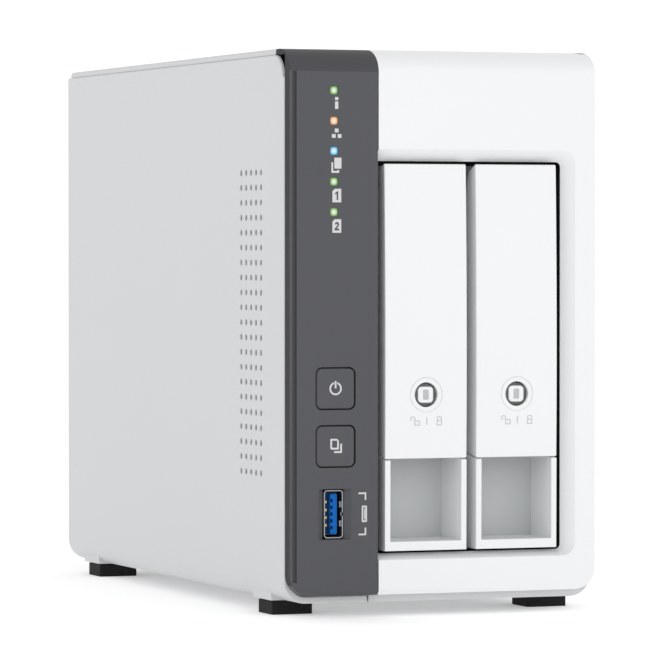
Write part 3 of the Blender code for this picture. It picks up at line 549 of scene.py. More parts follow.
def finish(name):
    """The material of a named finish, made on first use."""
    found = bpy.data.materials.get(name)
    if found:
        return found
    effect, colour, tone, scale, depth, roughness, change, metallic = FINISHES[name]
    if isinstance(colour, str):
        colour = getattr(bpy.context.scene.storage_finish, colour)
    made = bpy.data.materials.new(name)
    made.use_nodes = True
    tree = made.node_tree
    shader = tree.nodes["Principled BSDF"]
    shader.inputs["Metallic"].default_value = metallic
    shader.inputs["Specular IOR Level"].default_value = LOW_GLOSS.get(name, PLAIN_GLOSS)
    group = add_node(tree, "ShaderNodeGroup", node_tree=surface_effect(effect, *EFFECTS[effect]))
    values = ((*colour, 1.0), tone, scale, depth, roughness, change)
    for socket, value in zip(group.inputs, values):
        socket.default_value = value
    tree.links.new(group.outputs["Colour"], shader.inputs["Base Color"])
    tree.links.new(group.outputs["Roughness"], shader.inputs["Roughness"])
    tree.links.new(group.outputs["Normal"], shader.inputs["Normal"])
    return made


def lamp_finish(name, colour, centre, reach):
    """A lit lens: nearly white in the middle, then its own colour, and dim at the rim."""
    made = bpy.data.materials.new(name)
    made.use_nodes = True
    tree = made.node_tree
    shader = tree.nodes["Principled BSDF"]
    place = add_node(tree, "ShaderNodeTexCoord")
    middle = TO_FRAME @ Vector(centre)
    centred = add_node(tree, "ShaderNodeMapping", [(place.outputs["Object"], "Vector")])
    centred.inputs["Location"].default_value = -middle / (reach * MM)
    centred.inputs["Scale"].default_value = [1 / (reach * MM)] * 3
    heat = add_node(
        tree, "ShaderNodeTexGradient", [(centred.outputs["Vector"], "Vector")], gradient_type="SPHERICAL"
    )
    glow = add_node(tree, "ShaderNodeValToRGB", [(heat.outputs["Fac"], "Fac")])
    rim, core = glow.color_ramp.elements
    rim.position, rim.color = 0.06, (*(0.25 * part + 0.04 for part in colour), 1.0)
    core.position, core.color = 0.75, (*(0.3 * part + 0.7 for part in colour), 1.0)
    lens = glow.color_ramp.elements.new(0.32)
    lens.color = (*colour, 1.0)
    shader.inputs["Base Color"].default_value = (0.01, 0.01, 0.01, 1.0)
    shader.inputs["Roughness"].default_value = 0.35
    shader.inputs["Emission Strength"].default_value = 1.0
    tree.links.new(glow.outputs["Color"], shader.inputs["Emission Color"])


# ---------------------------------------------------------------- outer shells


def vent_rods(name, span):
    """Drill for the field of round vent holes near the front of a side wall."""
    sizes = bpy.context.scene.storage_sizes
    centres = [
        (VENT_START[0] + column * sizes.vent_pitch_deep, VENT_START[1] + row * sizes.vent_pitch_high)
        for column in range(sizes.vent_columns)
        for row in range(sizes.vent_rows)
    ]
    return rods(name, "X", sizes.vent_diameter / 2, span, centres, sides=16)


def wall_outline(left_side):
    """Cross-section of the left cover, or of the shell that makes the top, right side and bottom."""
    if left_side:
        middle = (EDGE_RADIUS, BASE + EDGE_RADIUS)
        outer = [(0.0, SIDE_TOP)] + arc(middle, EDGE_RADIUS, 180, 270, 24) + [(SEAM_X - GAP / 2, BASE)]
        inner = [(SEAM_X - GAP / 2, BASE + WALL)] + arc(middle, EDGE_RADIUS - WALL, 270, 180, 24)
        return outer + inner + [(WALL, SIDE_TOP)]
    middle = (WIDTH - EDGE_RADIUS, BASE + EDGE_RADIUS)
    top_radius = 1.5
    seam = 0.1
    outer = [(0.7, SIDE_TOP + seam), (0.8, HEIGHT - 0.9), (1.05, HEIGHT - 0.35), (1.7, HEIGHT)]
    outer += arc((WIDTH - top_radius, HEIGHT - top_radius), top_radius, 90, 0, 8)
    outer += arc(middle, EDGE_RADIUS, 0, -90, 24) + [(SEAM_X + GAP / 2, BASE)]
    inner = [(SEAM_X + GAP / 2, BASE + WALL)] + arc(middle, EDGE_RADIUS - WALL, -90, 0, 24)
    inner += [(WIDTH - WALL, HEIGHT - WALL), (4.5, HEIGHT - WALL), (4.5, 164.0), (2.5, 164.0)]
    return outer + inner + [(2.5, SIDE_TOP + seam)]


def foot_bosses(left):
    """The bosses under the bottom that hold one side's feet."""
    bosses = []
    for front in FOOT_FRONTS:
        high = (left + FOOT_SIZE[0] + 0.5, front + FOOT_SIZE[1] + 3.0, BOSS_TOP)
        bosses.append(block("boss", (left - 0.5, front - 0.4, BASE), high))
    return bosses


def outer_cover_edge(a, b):
    """True for the left cover's front edges, and for the outer edge along its top and its front corner."""
    frontmost, topmost = max(a.y, b.y), min(a.z, b.z) > SIDE_TOP - 0.1
    return frontmost < SIDE_FRONT + 0.1 or (frontmost < 12 or topmost) and max(a.x, b.x) < 0.9


def build_left_cover():
    cover = prism("left_cover_shell", "Y", wall_outline(True), (SIDE_FRONT, DEPTH))
    ledge = SIDE_FRONT + 1.3
    centre = (TOP_FRONT, SIDE_TOP - SIDE_CORNER)
    outline = [(SIDE_FRONT - 1, SIDE_TOP + 1), (SIDE_FRONT - 1, centre[1])]
    for across, up in arc((0.0, 0.0), 1.0, 180, 90, 20):
        outline.append((centre[0] + (centre[0] - ledge) * across, centre[1] + SIDE_CORNER * up))
    outline.append((centre[0], SIDE_TOP + 1))
    carve(cover, prism("cover_corner_tool", "X", outline, (-1, WALL + 1)))
    carve(cover, block("corner_lip_tool", (1.0, 3.0, centre[1]), (WALL + 1, TOP_FRONT - 0.2, SIDE_TOP + 1)))
    edge = bpy.context.scene.storage_sizes.edge_round
    soften(cover, edge, 4, 50, outer_cover_edge)
    weld(cover, *foot_bosses(FOOT_LEFTS[0]))
    weld(cover, block("cover_tab", (WALL - 0.5, TAB_SPAN[0], 150.0), (10.0, TAB_SPAN[1], 160.0)))
    hole = rod("cover_tab_hole", "Y", SCREW_HOLE, (205, 217), (6.5, 155))
    carve(cover, hole, vent_rods("left_vents", (-1, WALL + 1)))
    # the cover takes the painted-shade grey
    finish_piece(cover, "shell_grey", ["left_cover"])


def build_main_housing():
    shell = prism("main_housing_shell", "Y", wall_outline(False), (SIDE_FRONT, TOP_REAR))
    room = block("brow_room_tool", (-1, 3, 160.0), (WIDTH - WALL + 0.01, TOP_FRONT, 175))
    centre = (TOP_FRONT, SIDE_TOP - SIDE_CORNER + 1.5)
    outline = [(SIDE_FRONT - 1, HEIGHT + 3), (SIDE_FRONT - 1, centre[1])]
    outline += arc(centre, TOP_FRONT - SIDE_FRONT, 180, 90, 24) + [(TOP_FRONT, HEIGHT + 3)]
    corner = prism("brow_corner_tool", "X", outline, (WIDTH - WALL - 0.01, WIDTH + 1))
    carve(shell, room, corner)
    edge = bpy.context.scene.storage_sizes.edge_round
    front, rear = TOP_FRONT + 1, TOP_REAR - 0.1
    soften(
        shell, edge, 3, 50, lambda a, b: max(a.y, b.y) < front and min(a.x, b.x) > 3.0 or min(a.y, b.y) > rear
    )
    weld(shell, *foot_bosses(FOOT_LEFTS[1]))
    for height in (20.0, 155.0):
        low, high = (WIDTH - 9.8, TAB_SPAN[0], height - 5), (WIDTH - WALL + 0.5, TAB_SPAN[1], height + 5)
        weld(shell, block("housing_tab", low, high))
    places = [(WIDTH - 6.5, 20.0), (WIDTH - 6.5, 155.0)]
    holes = rods("housing_tab_holes", "Y", SCREW_HOLE, (205, 217), places)
    carve(shell, holes, vent_rods("right_vents", (WIDTH - WALL - 1, WIDTH + 1)))
    # the shell takes the painted-shade grey
    finish_piece(shell, "shell_grey", ["main_housing"])


FACE_TOP = 172.0
FACE_BOTTOM = 6.2
FRONT_DEPTH = 12.7
FACE_THICKNESS = 2.5
BEZEL_RIGHT = 101.1
PANEL_LEFT = 0.3
PANEL_RIGHT = 29.0
BAY_RIGHT = 90.8
BAY_BOTTOM = 18.6
BAY_TOP = 138.1
BAY_BEVEL = 3.6
FACE_CORNER = 6.7
RIM_RADIUS = EDGE_RADIUS - WALL - GAP


def face_outline():
    """Side view of the front pieces: a small lower facet, a flat face and a round brow."""
    brow = arc((0.0, 0.0), 1.0, 90, 180, 24)
    return [
        (0.8, FACE_BOTTOM),
        (FRONT_DEPTH, FACE_BOTTOM),
        (FRONT_DEPTH, FACE_TOP),
        *((BROW_DEPTH * (1 + across), FACE_TOP - BROW_HEIGHT * (1 - up)) for across, up in brow),
        (0.0, FACE_BOTTOM + 1.2),
    ]


def rim_tool(name, side_x, turn, top):
    """Cuts the step that lets a front piece tuck inside the shells."""
    across = 1 if turn > 0 else -1
    middle = (side_x + across * RIM_RADIUS, BASE + EDGE_RADIUS)
    sweep = (180, 270) if turn > 0 else (0, -90)
    outline = [(side_x, top), *arc(middle, RIM_RADIUS, *sweep, 24)]
    far, out = (45.0, -5.0) if turn > 0 else (20.0, 110.0)
    outline += [(far, BASE + WALL + GAP + 0.01), (far, 0.0), (out, 0.0), (out, top)]
    return prism(name, "Y", outline, (SIDE_FRONT - GAP, 14))


def build_front_bezel():
    bezel = prism("front_bezel_frame", "X", face_outline(), (PANEL_RIGHT + GAP, BEZEL_RIGHT))
    middle = (BEZEL_RIGHT - FACE_CORNER, FACE_BOTTOM + FACE_CORNER)
    outline = arc(middle, FACE_CORNER, 0, -90, 24) + [(middle[0], 0.0), (110.0, 0.0), (110.0, middle[1])]
    carve(bezel, prism("bezel_corner_tool", "Y", outline, (-1, 14)))
    soften(bezel, 0.6, 4, 50, lambda a, b: min(a.x, b.x) > 60 and max(a.y, b.y) < 10.1)
    inside = WIDTH - WALL - GAP
    top = SIDE_TOP - SIDE_CORNER + 1.5
    reach = TOP_FRONT - SIDE_FRONT + GAP
    carve(
        bezel,
        rim_tool("bezel_rim_tool", inside, -1, top),
        rod("bezel_brow_tool", "X", reach, (inside, 110), (TOP_FRONT, top), sides=96),
        prism("bay_tool", "Y", rounded((20, BAY_BOTTOM), (BAY_RIGHT, BAY_TOP), 1.5, 8), (-1, 14)),
    )
    low = (20.0, BAY_BOTTOM - 1.85), (BAY_RIGHT + BAY_BEVEL, BAY_TOP + BAY_BEVEL)
    high = (20.0, BAY_BOTTOM), (BAY_RIGHT, BAY_TOP)
    bm = bmesh.new()
    add_loft(bm, "Y", rounded(*low, 4.2, 10), -0.01, rounded(*high, 1.5, 10), BAY_BEVEL)
    carve(bezel, solid("bay_bevel_tool", bm))
    pockets = [
        ((BAY_RIGHT + 5.5, 5.0, 22.0), (97.0, 14.0, 155.0)),
        ((PANEL_RIGHT + 3.0, 5.0, BAY_TOP + 5.5), (96.0, 14.0, 163.5)),
        ((PANEL_RIGHT + 3.0, 4.5, 8.0), (88.0, 14.0, BAY_BOTTOM - 2.5)),
    ]
    carve(bezel, blocks("bezel_pocket_tools", pockets))
    finish_piece(bezel, "satin_white", ["front_bezel"])
    # painted shade: the bay's inner walls, white like the rest of the frame, are coloured near black for the
    # shade in the gaps around the trays
    assign(
        bezel,
        "painted_gap_shade",
        lambda p: p.y > BAY_BEVEL + 0.05 and p.x < BAY_RIGHT + 0.1 and BAY_BOTTOM - 0.1 < p.z < BAY_TOP + 0.1,
    )


GROOVE = (1.35, 10.6), (2.65, 164.9)
GROOVE_DEPTH = 0.35
CONTROL_X = 15.3
POWER_Z = 69.1
COPY_Z = 51.6
BUTTON_SIZE = 12.4
BUTTON_CORNER = 1.8
KEY_FRONT = 0.1
LAMP_X = 14.8
LAMP_SIZE = 1.9
LENS_FRONT = 0.22
USB_X = 15.0
USB_Z = 31.0
USB_WIDTH = 6.1
USB_HEIGHT = 14.5


def square(centre, height, half_wide, half_high, radius, steps=6):
    low, high = (centre - half_wide, height - half_high), (centre + half_wide, height + half_high)
    return rounded(low, high, radius, steps)


def build_indicator_panel():
    panel = prism("indicator_strip", "X", face_outline(), (PANEL_LEFT, PANEL_RIGHT))
    middle = (PANEL_LEFT + FACE_CORNER, FACE_BOTTOM + FACE_CORNER)
    outline = arc(middle, FACE_CORNER, 180, 270, 24) + [(middle[0], 0.0), (-5.0, 0.0), (-5.0, middle[1])]
    carve(panel, prism("strip_corner_tool", "Y", outline, (-1, 14)))
    soften(panel, 1.2, 6, 50, lambda a, b: max(a.x, b.x) < 12 and max(a.y, b.y) < 10.1)
    carve(panel, rim_tool("strip_rim_tool", WALL + GAP, 1, SIDE_TOP + 0.1))
    tools = [
        block("strip_top_tool", (-1, SIDE_FRONT - GAP, 170.0), (0.8, 14, 180)),
        block("strip_hollow_tool", (4.5, FACE_THICKNESS, 8.5), (PANEL_RIGHT - 2.0, 14.0, 163.0)),
        prism("groove_tool", "Y", rounded(*GROOVE, 0.1, 2), (-1.0, GROOVE_DEPTH)),
    ]
    reach = BUTTON_SIZE / 2 + GAP
    for height in (POWER_Z, COPY_Z):
        opening = square(CONTROL_X, height, reach, reach, BUTTON_CORNER + GAP, 8)
        tools.append(prism("key_opening_tool", "Y", opening, (-1, 4)))
    reach = LAMP_SIZE / 2 + GAP
    lamps = [((LAMP_X - reach, -1, z - reach), (LAMP_X + reach, 4, z + reach)) for z in LAMP_HEIGHTS]
    tools.append(blocks("lamp_tools", lamps))
    half_x, half_z = USB_WIDTH / 2 + GAP, USB_HEIGHT / 2 + GAP
    opening = square(USB_X, USB_Z, half_x, half_z, 0.4)
    bm = bmesh.new()
    add_loft(bm, "Y", square(USB_X, USB_Z, 5.4, half_z + 0.15, 0.5), -0.01, opening, 1.6)
    tools += [solid("usb_pocket_tool", bm), prism("usb_opening_tool", "Y", opening, (-1, 4))]
    carve(panel, *tools)
    soften(panel, 0.12, 2, 50, lambda a, b: max(a.y, b.y) < 0.01 and min(a.x, b.x) > 2.9)
    finish_piece(panel, "strip_grey", ["indicator_panel"])
    # painted shade: the round brow of the strip takes a darker grey for the light it doesn't catch
    assign(panel, "strip_brow_painted_shade", lambda p: p.y < FRONT_DEPTH - 0.1 and p.z > FACE_TOP - BROW_HEIGHT)
    # painted shade: the strip's round left edge takes a darker grey for the dimmer light falling on it
    assign(panel, "strip_edge_painted_shade", lambda p: p.x < 1.3 and p.y < SIDE_FRONT + 6)
    # painted shade: the shallow groove's faces take a dark plum that stands in for the shade inside the groove
    groove_end = GROOVE_DEPTH + 0.05
    assign(panel, "groove_painted_shade", lambda p: 1.3 < p.x < 2.7 and 0.05 < p.y < groove_end and 10 < p.z < 165)
    # painted shade: the step that tucks inside the cover is coloured near black for the shade in the gap at the
    # cover's front corner
    step, rim = SIDE_FRONT - GAP - 0.02, WALL + GAP + 0.1
    assign(panel, "painted_gap_shade", lambda p: p.y > step and p.x < rim and p.z < SIDE_TOP - 0.1)


# ---------------------------------------------------------------- controls and marks


def build_keys():
    """Square keys with softly rounded rims, a retaining flange, a stem and a printed mark."""
    half = BUTTON_SIZE / 2
    for key, height in (("power", POWER_Z), ("copy", COPY_Z)):
        outline = square(CONTROL_X, height, half, half, BUTTON_CORNER, 8)
        cap = prism(f"{key}_key_cap", "Y", outline, (KEY_FRONT, 4.0))
        soften(cap, 0.55, 5, 50, lambda a, b: max(a.y, b.y) < 0.2)
        for name, reach, near, far in (("flange", half + 1, 2.8, 4.2), ("stem", 1.5, 4.0, 9.1)):
            low, high = (CONTROL_X - reach, near, height - reach), (CONTROL_X + reach, far, height + reach)
            weld(cap, block(name, low, high))
        finish_piece(cap, "key_grey", [f"{key}_button"], body=f"{key}_key")
    proud = KEY_FRONT - bpy.context.scene.storage_sizes.print_height
    span = (proud, 0.3)
    ring = prism("power_mark", "Y", arc((CONTROL_X, POWER_Z), 2.0, 0, 360, 48)[:-1], span)
    gap = 0.55
    carve(
        ring,
        prism("ring_hole", "Y", arc((CONTROL_X, POWER_Z), 1.48, 0, 360, 48)[:-1], (-1, 1)),
        block("ring_gap", (CONTROL_X - gap, -1, POWER_Z + 0.6), (CONTROL_X + gap, 1, POWER_Z + 3)),
    )
    low, high = (CONTROL_X - 0.28, proud, POWER_Z + 0.1), (CONTROL_X + 0.28, 0.3, POWER_Z + 2.3)
    weld(ring, block("ring_bar", low, high))
    finish_piece(ring, "print_white", body="power_key")
    x, z, line = CONTROL_X, COPY_Z, 0.55
    mark = prism("copy_mark", "Y", rounded((x - 1.7, z - 0.95), (x + 1.05, z + 2.3), 0.12, 3), span)
    fold = [(x + 0.2, z + 2.6), (x + 1.3, z + 2.6), (x + 1.3, z + 1.4)]
    notch = [(x - 2.0, z - 0.35), (x - 1.0, z - 1.3), (x - 2.0, z - 1.3)]
    middle = rounded((x - 1.7 + line, z - 0.95 + line), (x + 1.05 - line, z + 2.3 - line), 0.1, 2)
    carve(
        mark,
        prism("sheet_middle", "Y", middle, (-1, 1)),
        prism("fold", "Y", fold, (-1, 1)),
        prism("notch", "Y", notch, (-1, 1)),
    )
    weld(
        mark,
        block("under_side", (x + 1.5, proud, z - 2.0), (x + 1.5 + line, 0.3, z + 0.8)),
        block("under_foot", (x - 0.5, proud, z - 2.0), (x + 1.6, 0.3, z - 2.0 + line)),
    )
    finish_piece(mark, "print_white", body="copy_key")


DIGITS = {
    1: [(-0.62, 0.6), (0.0, 1.05), (0.42, 1.05), (0.42, -1.05), (-0.1, -1.05), (-0.1, 0.45), (-0.5, 0.2)],
    2: [
        (-0.7, 0.42), (-0.52, 0.86), (0.0, 1.06), (0.52, 0.86), (0.72, 0.42), (0.56, 0.02), (-0.02, -0.58),
        (0.72, -0.58), (0.72, -1.05), (-0.76, -1.05), (-0.76, -0.62), (0.08, 0.14), (0.18, 0.4), (0.0, 0.6),
        (-0.2, 0.38),
    ],
}  # fmt: skip


def plate_at(name, x, z, wide, high, span, radius=0.12):
    """A small flat rectangle on the face, by its middle and size."""
    return prism(name, "Y", square(x, z, wide / 2, high / 2, radius, 3), span)


def build_panel_marks():
    """Printed marks below each lamp and beside the USB socket."""
    span = (-bpy.context.scene.storage_sizes.print_height, 0.2)
    x = LAMP_X + 0.8
    status, network, copy, first, second = LAMP_HEIGHTS
    bar = plate_at("bar", x, status - 4.5, 1.05, 2.25, span)
    marks = [weld(plate_at("status_mark", x, status - 2.5, 1.05, 0.95, span), bar)]
    squares = [plate_at("square", x + side, network - 4.6, 1.22, 1.15, span) for side in (-0.94, 0.94)]
    marks.append(weld(plate_at("network_mark", x, network - 2.95, 1.22, 1.15, span), *squares))
    under = plate_at("copy_lamp_mark", x - 0.45, copy - 5.05, 2.5, 3.2, span)
    carve(under, plate_at("under_middle", x - 0.45, copy - 5.05, 1.3, 2.0, (-1, 1)))
    carve(under, plate_at("sheet_gap", x + 0.4, copy - 3.7, 3.1, 4.1, (-1, 1)))
    marks.append(weld(under, plate_at("front_sheet", x + 0.4, copy - 3.7, 2.3, 3.3, span)))
    for number, lamp in ((1, first), (2, second)):
        z = lamp - 4.2
        left, right, low, high = x - 1.38, x + 1.48, z - 2.05, z + 2.05
        outline = [(left, z + 1.3), (x - 0.6, high), (right, high), (right, low), (left, low)]
        badge = prism(f"bay_{number}_mark", "Y", outline, span)
        digit = [(x + 0.08 + across, z - 0.05 + 1.25 * up) for across, up in DIGITS[number]]
        marks.append(carve(badge, prism("digit_tool", "Y", digit, (-1, 1))))
    marks.append(socket_mark(span))
    for mark in marks:
        finish_piece(mark, "print_white")


def socket_mark(span):
    """Two corner brackets, and between them the outline of a plug's mouth."""
    x, z, line = 24.6, USB_Z, 0.5
    mark = plate_at("socket_mark", x, z, 1.7, 5.0, span, 0.3)
    carve(mark, plate_at("mouth", x, z, 1.7 - 2 * line, 5.0 - 2 * line, (-1, 1), 0.1))
    weld(mark, plate_at("mouth_bar", x + 0.1, z, 0.35, 3.3, span, 0.1))
    for end in (-1, 1):
        far, near = sorted((z + end * 6.5, z + end * 4.2)), sorted((z + end * 6.5, z + end * (6.5 - line)))
        weld(mark, block("bracket_side", (25.2 - line, span[0], far[0]), (25.2, span[1], far[1])))
        weld(mark, block("bracket_end", (22.7, span[0], near[0]), (25.1, span[1], near[1])))
    return mark


def build_lamps():
    """The light guide; the end of each finger is a lit lens, hottest at its middle."""
    half = LAMP_SIZE / 2
    bar = block("lamp_light_guide", (LAMP_X - half, 8.0, 120.5), (LAMP_X + half, 10.0, 161.3))
    fingers = [
        block("finger", (LAMP_X - half + 0.01, 0.4, z - half), (LAMP_X + half - 0.01, 13.7, z + half))
        for z in LAMP_HEIGHTS
    ]
    weld(bar, *fingers)
    finish_piece(bar, "clear_guide", ["light_guide"])
    chosen = bpy.context.scene.storage_finish
    green, amber, blue = chosen.lamp_green, chosen.lamp_amber, chosen.lamp_blue
    colours = ("green", green), ("amber", amber), ("blue", blue), ("green", green), ("green", green)
    reach = half + 0.26
    for number, (height, (name, colour)) in enumerate(zip(LAMP_HEIGHTS, colours), 1):
        outline = square(LAMP_X, height, reach, reach, 0.2, 4)
        lens = prism(f"lamp_{number}_lens", "Y", outline, (LENS_FRONT, 0.38))
        soften(lens, 0.1, 3, 50, lambda a, b: max(a.y, b.y) < LENS_FRONT + 0.03)
        look = f"lamp_{number}_{name}"
        lamp_finish(look, colour, (LAMP_X, LENS_FRONT, height), 1.25 * reach)
        finish_piece(lens, look)


def build_front_usb():
    """Upright USB socket: thin steel shell, dark blue base with pads, bright tongue with slots."""
    half_x, half_z, sheet = USB_WIDTH / 2, USB_HEIGHT / 2, 0.26
    shell = prism("front_usb_socket", "Y", square(USB_X, USB_Z, half_x, half_z, 0.95, 6), (1.2, 13.7))
    mouth = square(USB_X, USB_Z, half_x - sheet, half_z - sheet, 0.72)
    window = (USB_X + half_x - 1, 0.9, USB_Z - 0.5), (USB_X + half_x + 1, 2.4, USB_Z + 0.5)
    carve(shell, prism("usb_mouth_tool", "Y", mouth, (0, 15)), block("spring_window", *window))
    for end in (-2.9, 2.9):
        low = (USB_X + half_x - 0.75, 2.2, USB_Z + end - 0.9)
        weld(shell, block("usb_spring", low, (USB_X + half_x - 0.3, 7.0, USB_Z + end + 0.9)))
    finish_piece(shell, "socket_steel", ["front_usb_shell"])
    base = block("front_usb_base", (USB_X - 2.6, 4.2, USB_Z - 6.5), (USB_X + 2.2, 13.6, USB_Z + 6.5))
    soften(base, 0.2, 2)
    finish_piece(base, "deep_blue")
    tongue = block("front_usb_carrier", (USB_X - 0.75, 2.0, USB_Z - 6.1), (USB_X + 1.5, 13.7, USB_Z + 6.1))
    soften(tongue, 0.2, 2)
    slots = [
        ((USB_X - 0.58, 1.5, USB_Z + offset - 0.5), (USB_X, 4.0, USB_Z + offset + 0.5))
        for offset in (-4.1, -2.05, 0.0, 2.05, 4.1)
    ]
    carve(tongue, blocks("tongue_slots", slots))
    finish_piece(tongue, "blue_tongue", ["front_usb_tongue"])
    # painted shade: the walls of the tongue's slots are coloured near black for the shade inside them
    left, right = USB_X - 0.6, USB_X + 0.02
    assign(
        tongue, "painted_gap_shade", lambda p: left < p.x < right and 2.02 < p.y < 4.1 and abs(p.z - USB_Z) < 5.0
    )
    pads = [
        ((USB_X - 1.7, 3.7, USB_Z + offset - 0.45), (USB_X - 0.95, 4.3, USB_Z + offset + 0.45))
        for offset in (-3.5, -1.17, 1.17, 3.6)
    ]
    contacts = blocks("front_usb_contacts", pads)
    soften(contacts, 0.15, 2)
    finish_piece(contacts, "gold")


# ---------------------------------------------------------------- trays and drives

TRAY_CENTRES = (44.9, 74.9)
TRAY_HALF = 13.4
TRAY_BOTTOM = 19.4
TRAY_TOP = 137.3
TRAY_SEAM = 47.15
TRAY_DEPTH = 18.0
LEVER_DEPTH = 9.4
PIVOT = (4.4, 127.0)
BOW_MIDDLE = 78.0
BOW_REACH = 60.0
LOCK_Z = 66.9
LOCK_RADIUS = 3.5
KEY_SLOT = (0.95, 1.55)
PIN_RADIUS = 1.0
PIN_BORE = 1.3
DRIVE_LENGTH = 147.0
DRIVE_HEIGHT = 101.6
DRIVE_THICKNESS = 26.1
DRIVE_FRONT = 20.3
DRIVE_BOTTOM = 27.65
SPINDLE = (72.0, 78.5)


def build_tray_sled(number, centre):
    """Front box with the finger recess, pivot ears, rails and straps of one tray."""
    left, right = centre - TRAY_HALF, centre + TRAY_HALF
    front = LEVER_DEPTH + 0.5
    sled = block(f"tray_{number}_sled", (left, front, TRAY_BOTTOM), (right, TRAY_DEPTH, TRAY_TOP - 0.4))
    slope = [
        (0.4, TRAY_BOTTOM),
        (11.0, TRAY_BOTTOM),
        (11.0, TRAY_SEAM + 1.6),
        (10.5, TRAY_SEAM + 1.6),
        (0.25, TRAY_SEAM - 0.2),
    ]
    lower = prism("recess_frame", "X", slope, (left + 0.01, right - 0.01))
    soften(lower, 0.5, 4, 50, lambda a, b: max(a.y, b.y) < 0.5 or max(a.y, b.y) < 10.6 and min(a.z, b.z) > 40)
    weld(sled, lower)
    middle = (TRAY_BOTTOM + TRAY_TOP + 0.65) / 2
    half_high = (TRAY_TOP - TRAY_BOTTOM - 4.85) / 2
    inner = square(centre, middle, TRAY_HALF - 2.0, half_high - 0.3, 0.3, 3)
    bm = bmesh.new()
    wide = square(centre, middle, TRAY_HALF - 1.7, half_high, 0.3, 3)
    add_loft(bm, "Y", wide, -1.0, inner, 16.0)
    recess = soften(solid("recess_tool", bm), 3.2, 6, 50, lambda a, b: min(a.y, b.y) > 15.9)
    low, high = (left - 1, front - 1, PIVOT[1] - 3.0), (right + 1, 13.4, TRAY_TOP + 1)
    carve(sled, recess, block("swing_tool", low, high))
    ear_radius = 1.9
    for span in ((left + 1.9, left + 4.0), (right - 4.0, right - 1.9)):
        weld(sled, rod("ear", "X", ear_radius, span, PIVOT, sides=40))
        low = (span[0] + 0.01, PIVOT[0], PIVOT[1] - ear_radius + 0.05)
        weld(sled, block("ear_bar", low, (span[1] - 0.01, 17.0, PIVOT[1] + ear_radius - 0.05)))
    carve(sled, rod("pin_bore", "X", PIN_BORE, (left, right), PIVOT, sides=28))
    rail_left, rail_right = centre - 14.6, centre + 12.9
    drive_top = DRIVE_BOTTOM + DRIVE_HEIGHT
    solids = [
        ((rail_left, 17.0, 21.5), (rail_right, 171.0, DRIVE_BOTTOM - GAP)),
        ((rail_left, 17.0, drive_top + GAP), (rail_right, 171.0, 135.4)),
        ((rail_left + 0.01, 62.0, 22.0), (rail_left + 1.2, 74.0, 135.0)),
        ((rail_left + 0.01, 138.0, 22.0), (rail_left + 1.2, 150.0, 135.0)),
    ]
    for low, high in solids:
        weld(sled, soften(block("rail", low, high), 0.35, 3))
    slots = [
        ((rail_left + 2.5, 30.0 + 28.0 * i, bottom), (rail_right - 2.5, 50.0 + 28.0 * i, top))
        for i in range(5)
        for bottom, top in ((14.0, 24.6), (drive_top + 3.0, drive_top + 15.0))
    ]
    carve(sled, blocks("rail_slots", slots))
    finish_piece(sled, "satin_white", [f"tray_{number}_body"], body=f"tray_{number}")
    # painted shade: the back of the finger recess takes a greyer white for the shade deep in the recess
    reach, low, high = TRAY_HALF - 1.9, TRAY_BOTTOM + 1, TRAY_TOP - 1
    assign(sled, "recess_painted_shade", lambda p: abs(p.x - centre) < reach and 12.9 < p.y < 16.5 and low < p.z < high)


def plate_bow(z):
    """How far a tray's front plate lies behind its foremost line, which is at mid height."""
    return 0.05 + ((z - BOW_MIDDLE) / BOW_REACH) ** 2


def build_tray_lever(number, centre):
    """Bowed front plate with side flanges, a ring around its lock and raised padlock marks."""
    left, right = centre - TRAY_HALF, centre + TRAY_HALF
    bottom, top = TRAY_SEAM + GAP, TRAY_TOP
    steps = 16
    heights = [top - 0.3 - (top - 0.3 - bottom) * i / steps for i in range(steps + 1)]
    outline = [(LEVER_DEPTH, TRAY_SEAM + 1.9), (LEVER_DEPTH, 128.5), (6.4, top - 2.1), (1.5, top)]
    outline += [(plate_bow(z), z) for z in heights]
    plate = prism(f"tray_{number}_front_plate", "X", outline, (left, right))
    soften(plate, 0.6, 4, 50, lambda a, b: max(a.y, b.y) < 2.2 or min(a.z, b.z) > 134 or max(a.z, b.z) < 50)
    ring = rod("ring_tool", "Y", 5.4, (-1, plate_bow(LOCK_Z) + 0.25), (centre, LOCK_Z), sides=64)
    carve(ring, rod("ring_core", "Y", 5.05, (-2, 2), (centre, LOCK_Z), sides=64))
    carve(
        plate,
        block("plate_hollow", (left + 1.6, 2.2, 40.0), (right - 1.6, 12.0, 140.0)),
        rod("pin_bore", "X", PIN_BORE, (left + 0.6, right - 0.6), PIVOT, sides=28),
        rod("lock_bore", "Y", LOCK_RADIUS + GAP, (-1, 4), (centre, LOCK_Z), sides=64),
        ring,
    )
    ribs = [((left + 1.0, 2.0, z), (right - 1.0, 3.4, z + 1.2)) for z in (84.0, 100.0, 114.0)]
    weld(plate, blocks("plate_ribs", ribs))
    finish_piece(plate, "satin_white", [f"tray_{number}_lever"], body=f"lever_{number}")
    span = (plate_bow(59.0) - 0.05, plate_bow(59.0) + 0.3)
    marks = [
        padlock(f"tray_{number}_open_mark", centre - 2.95, -1.45, span),
        padlock(f"tray_{number}_shut_mark", centre + 4.3, 0.0, span),
        plate_at(f"tray_{number}_tick", centre + 0.2, 58.9, 0.34, 2.3, span, 0.1),
    ]
    for mark in marks:
        finish_piece(mark, "relief_grey", body=f"lever_{number}")


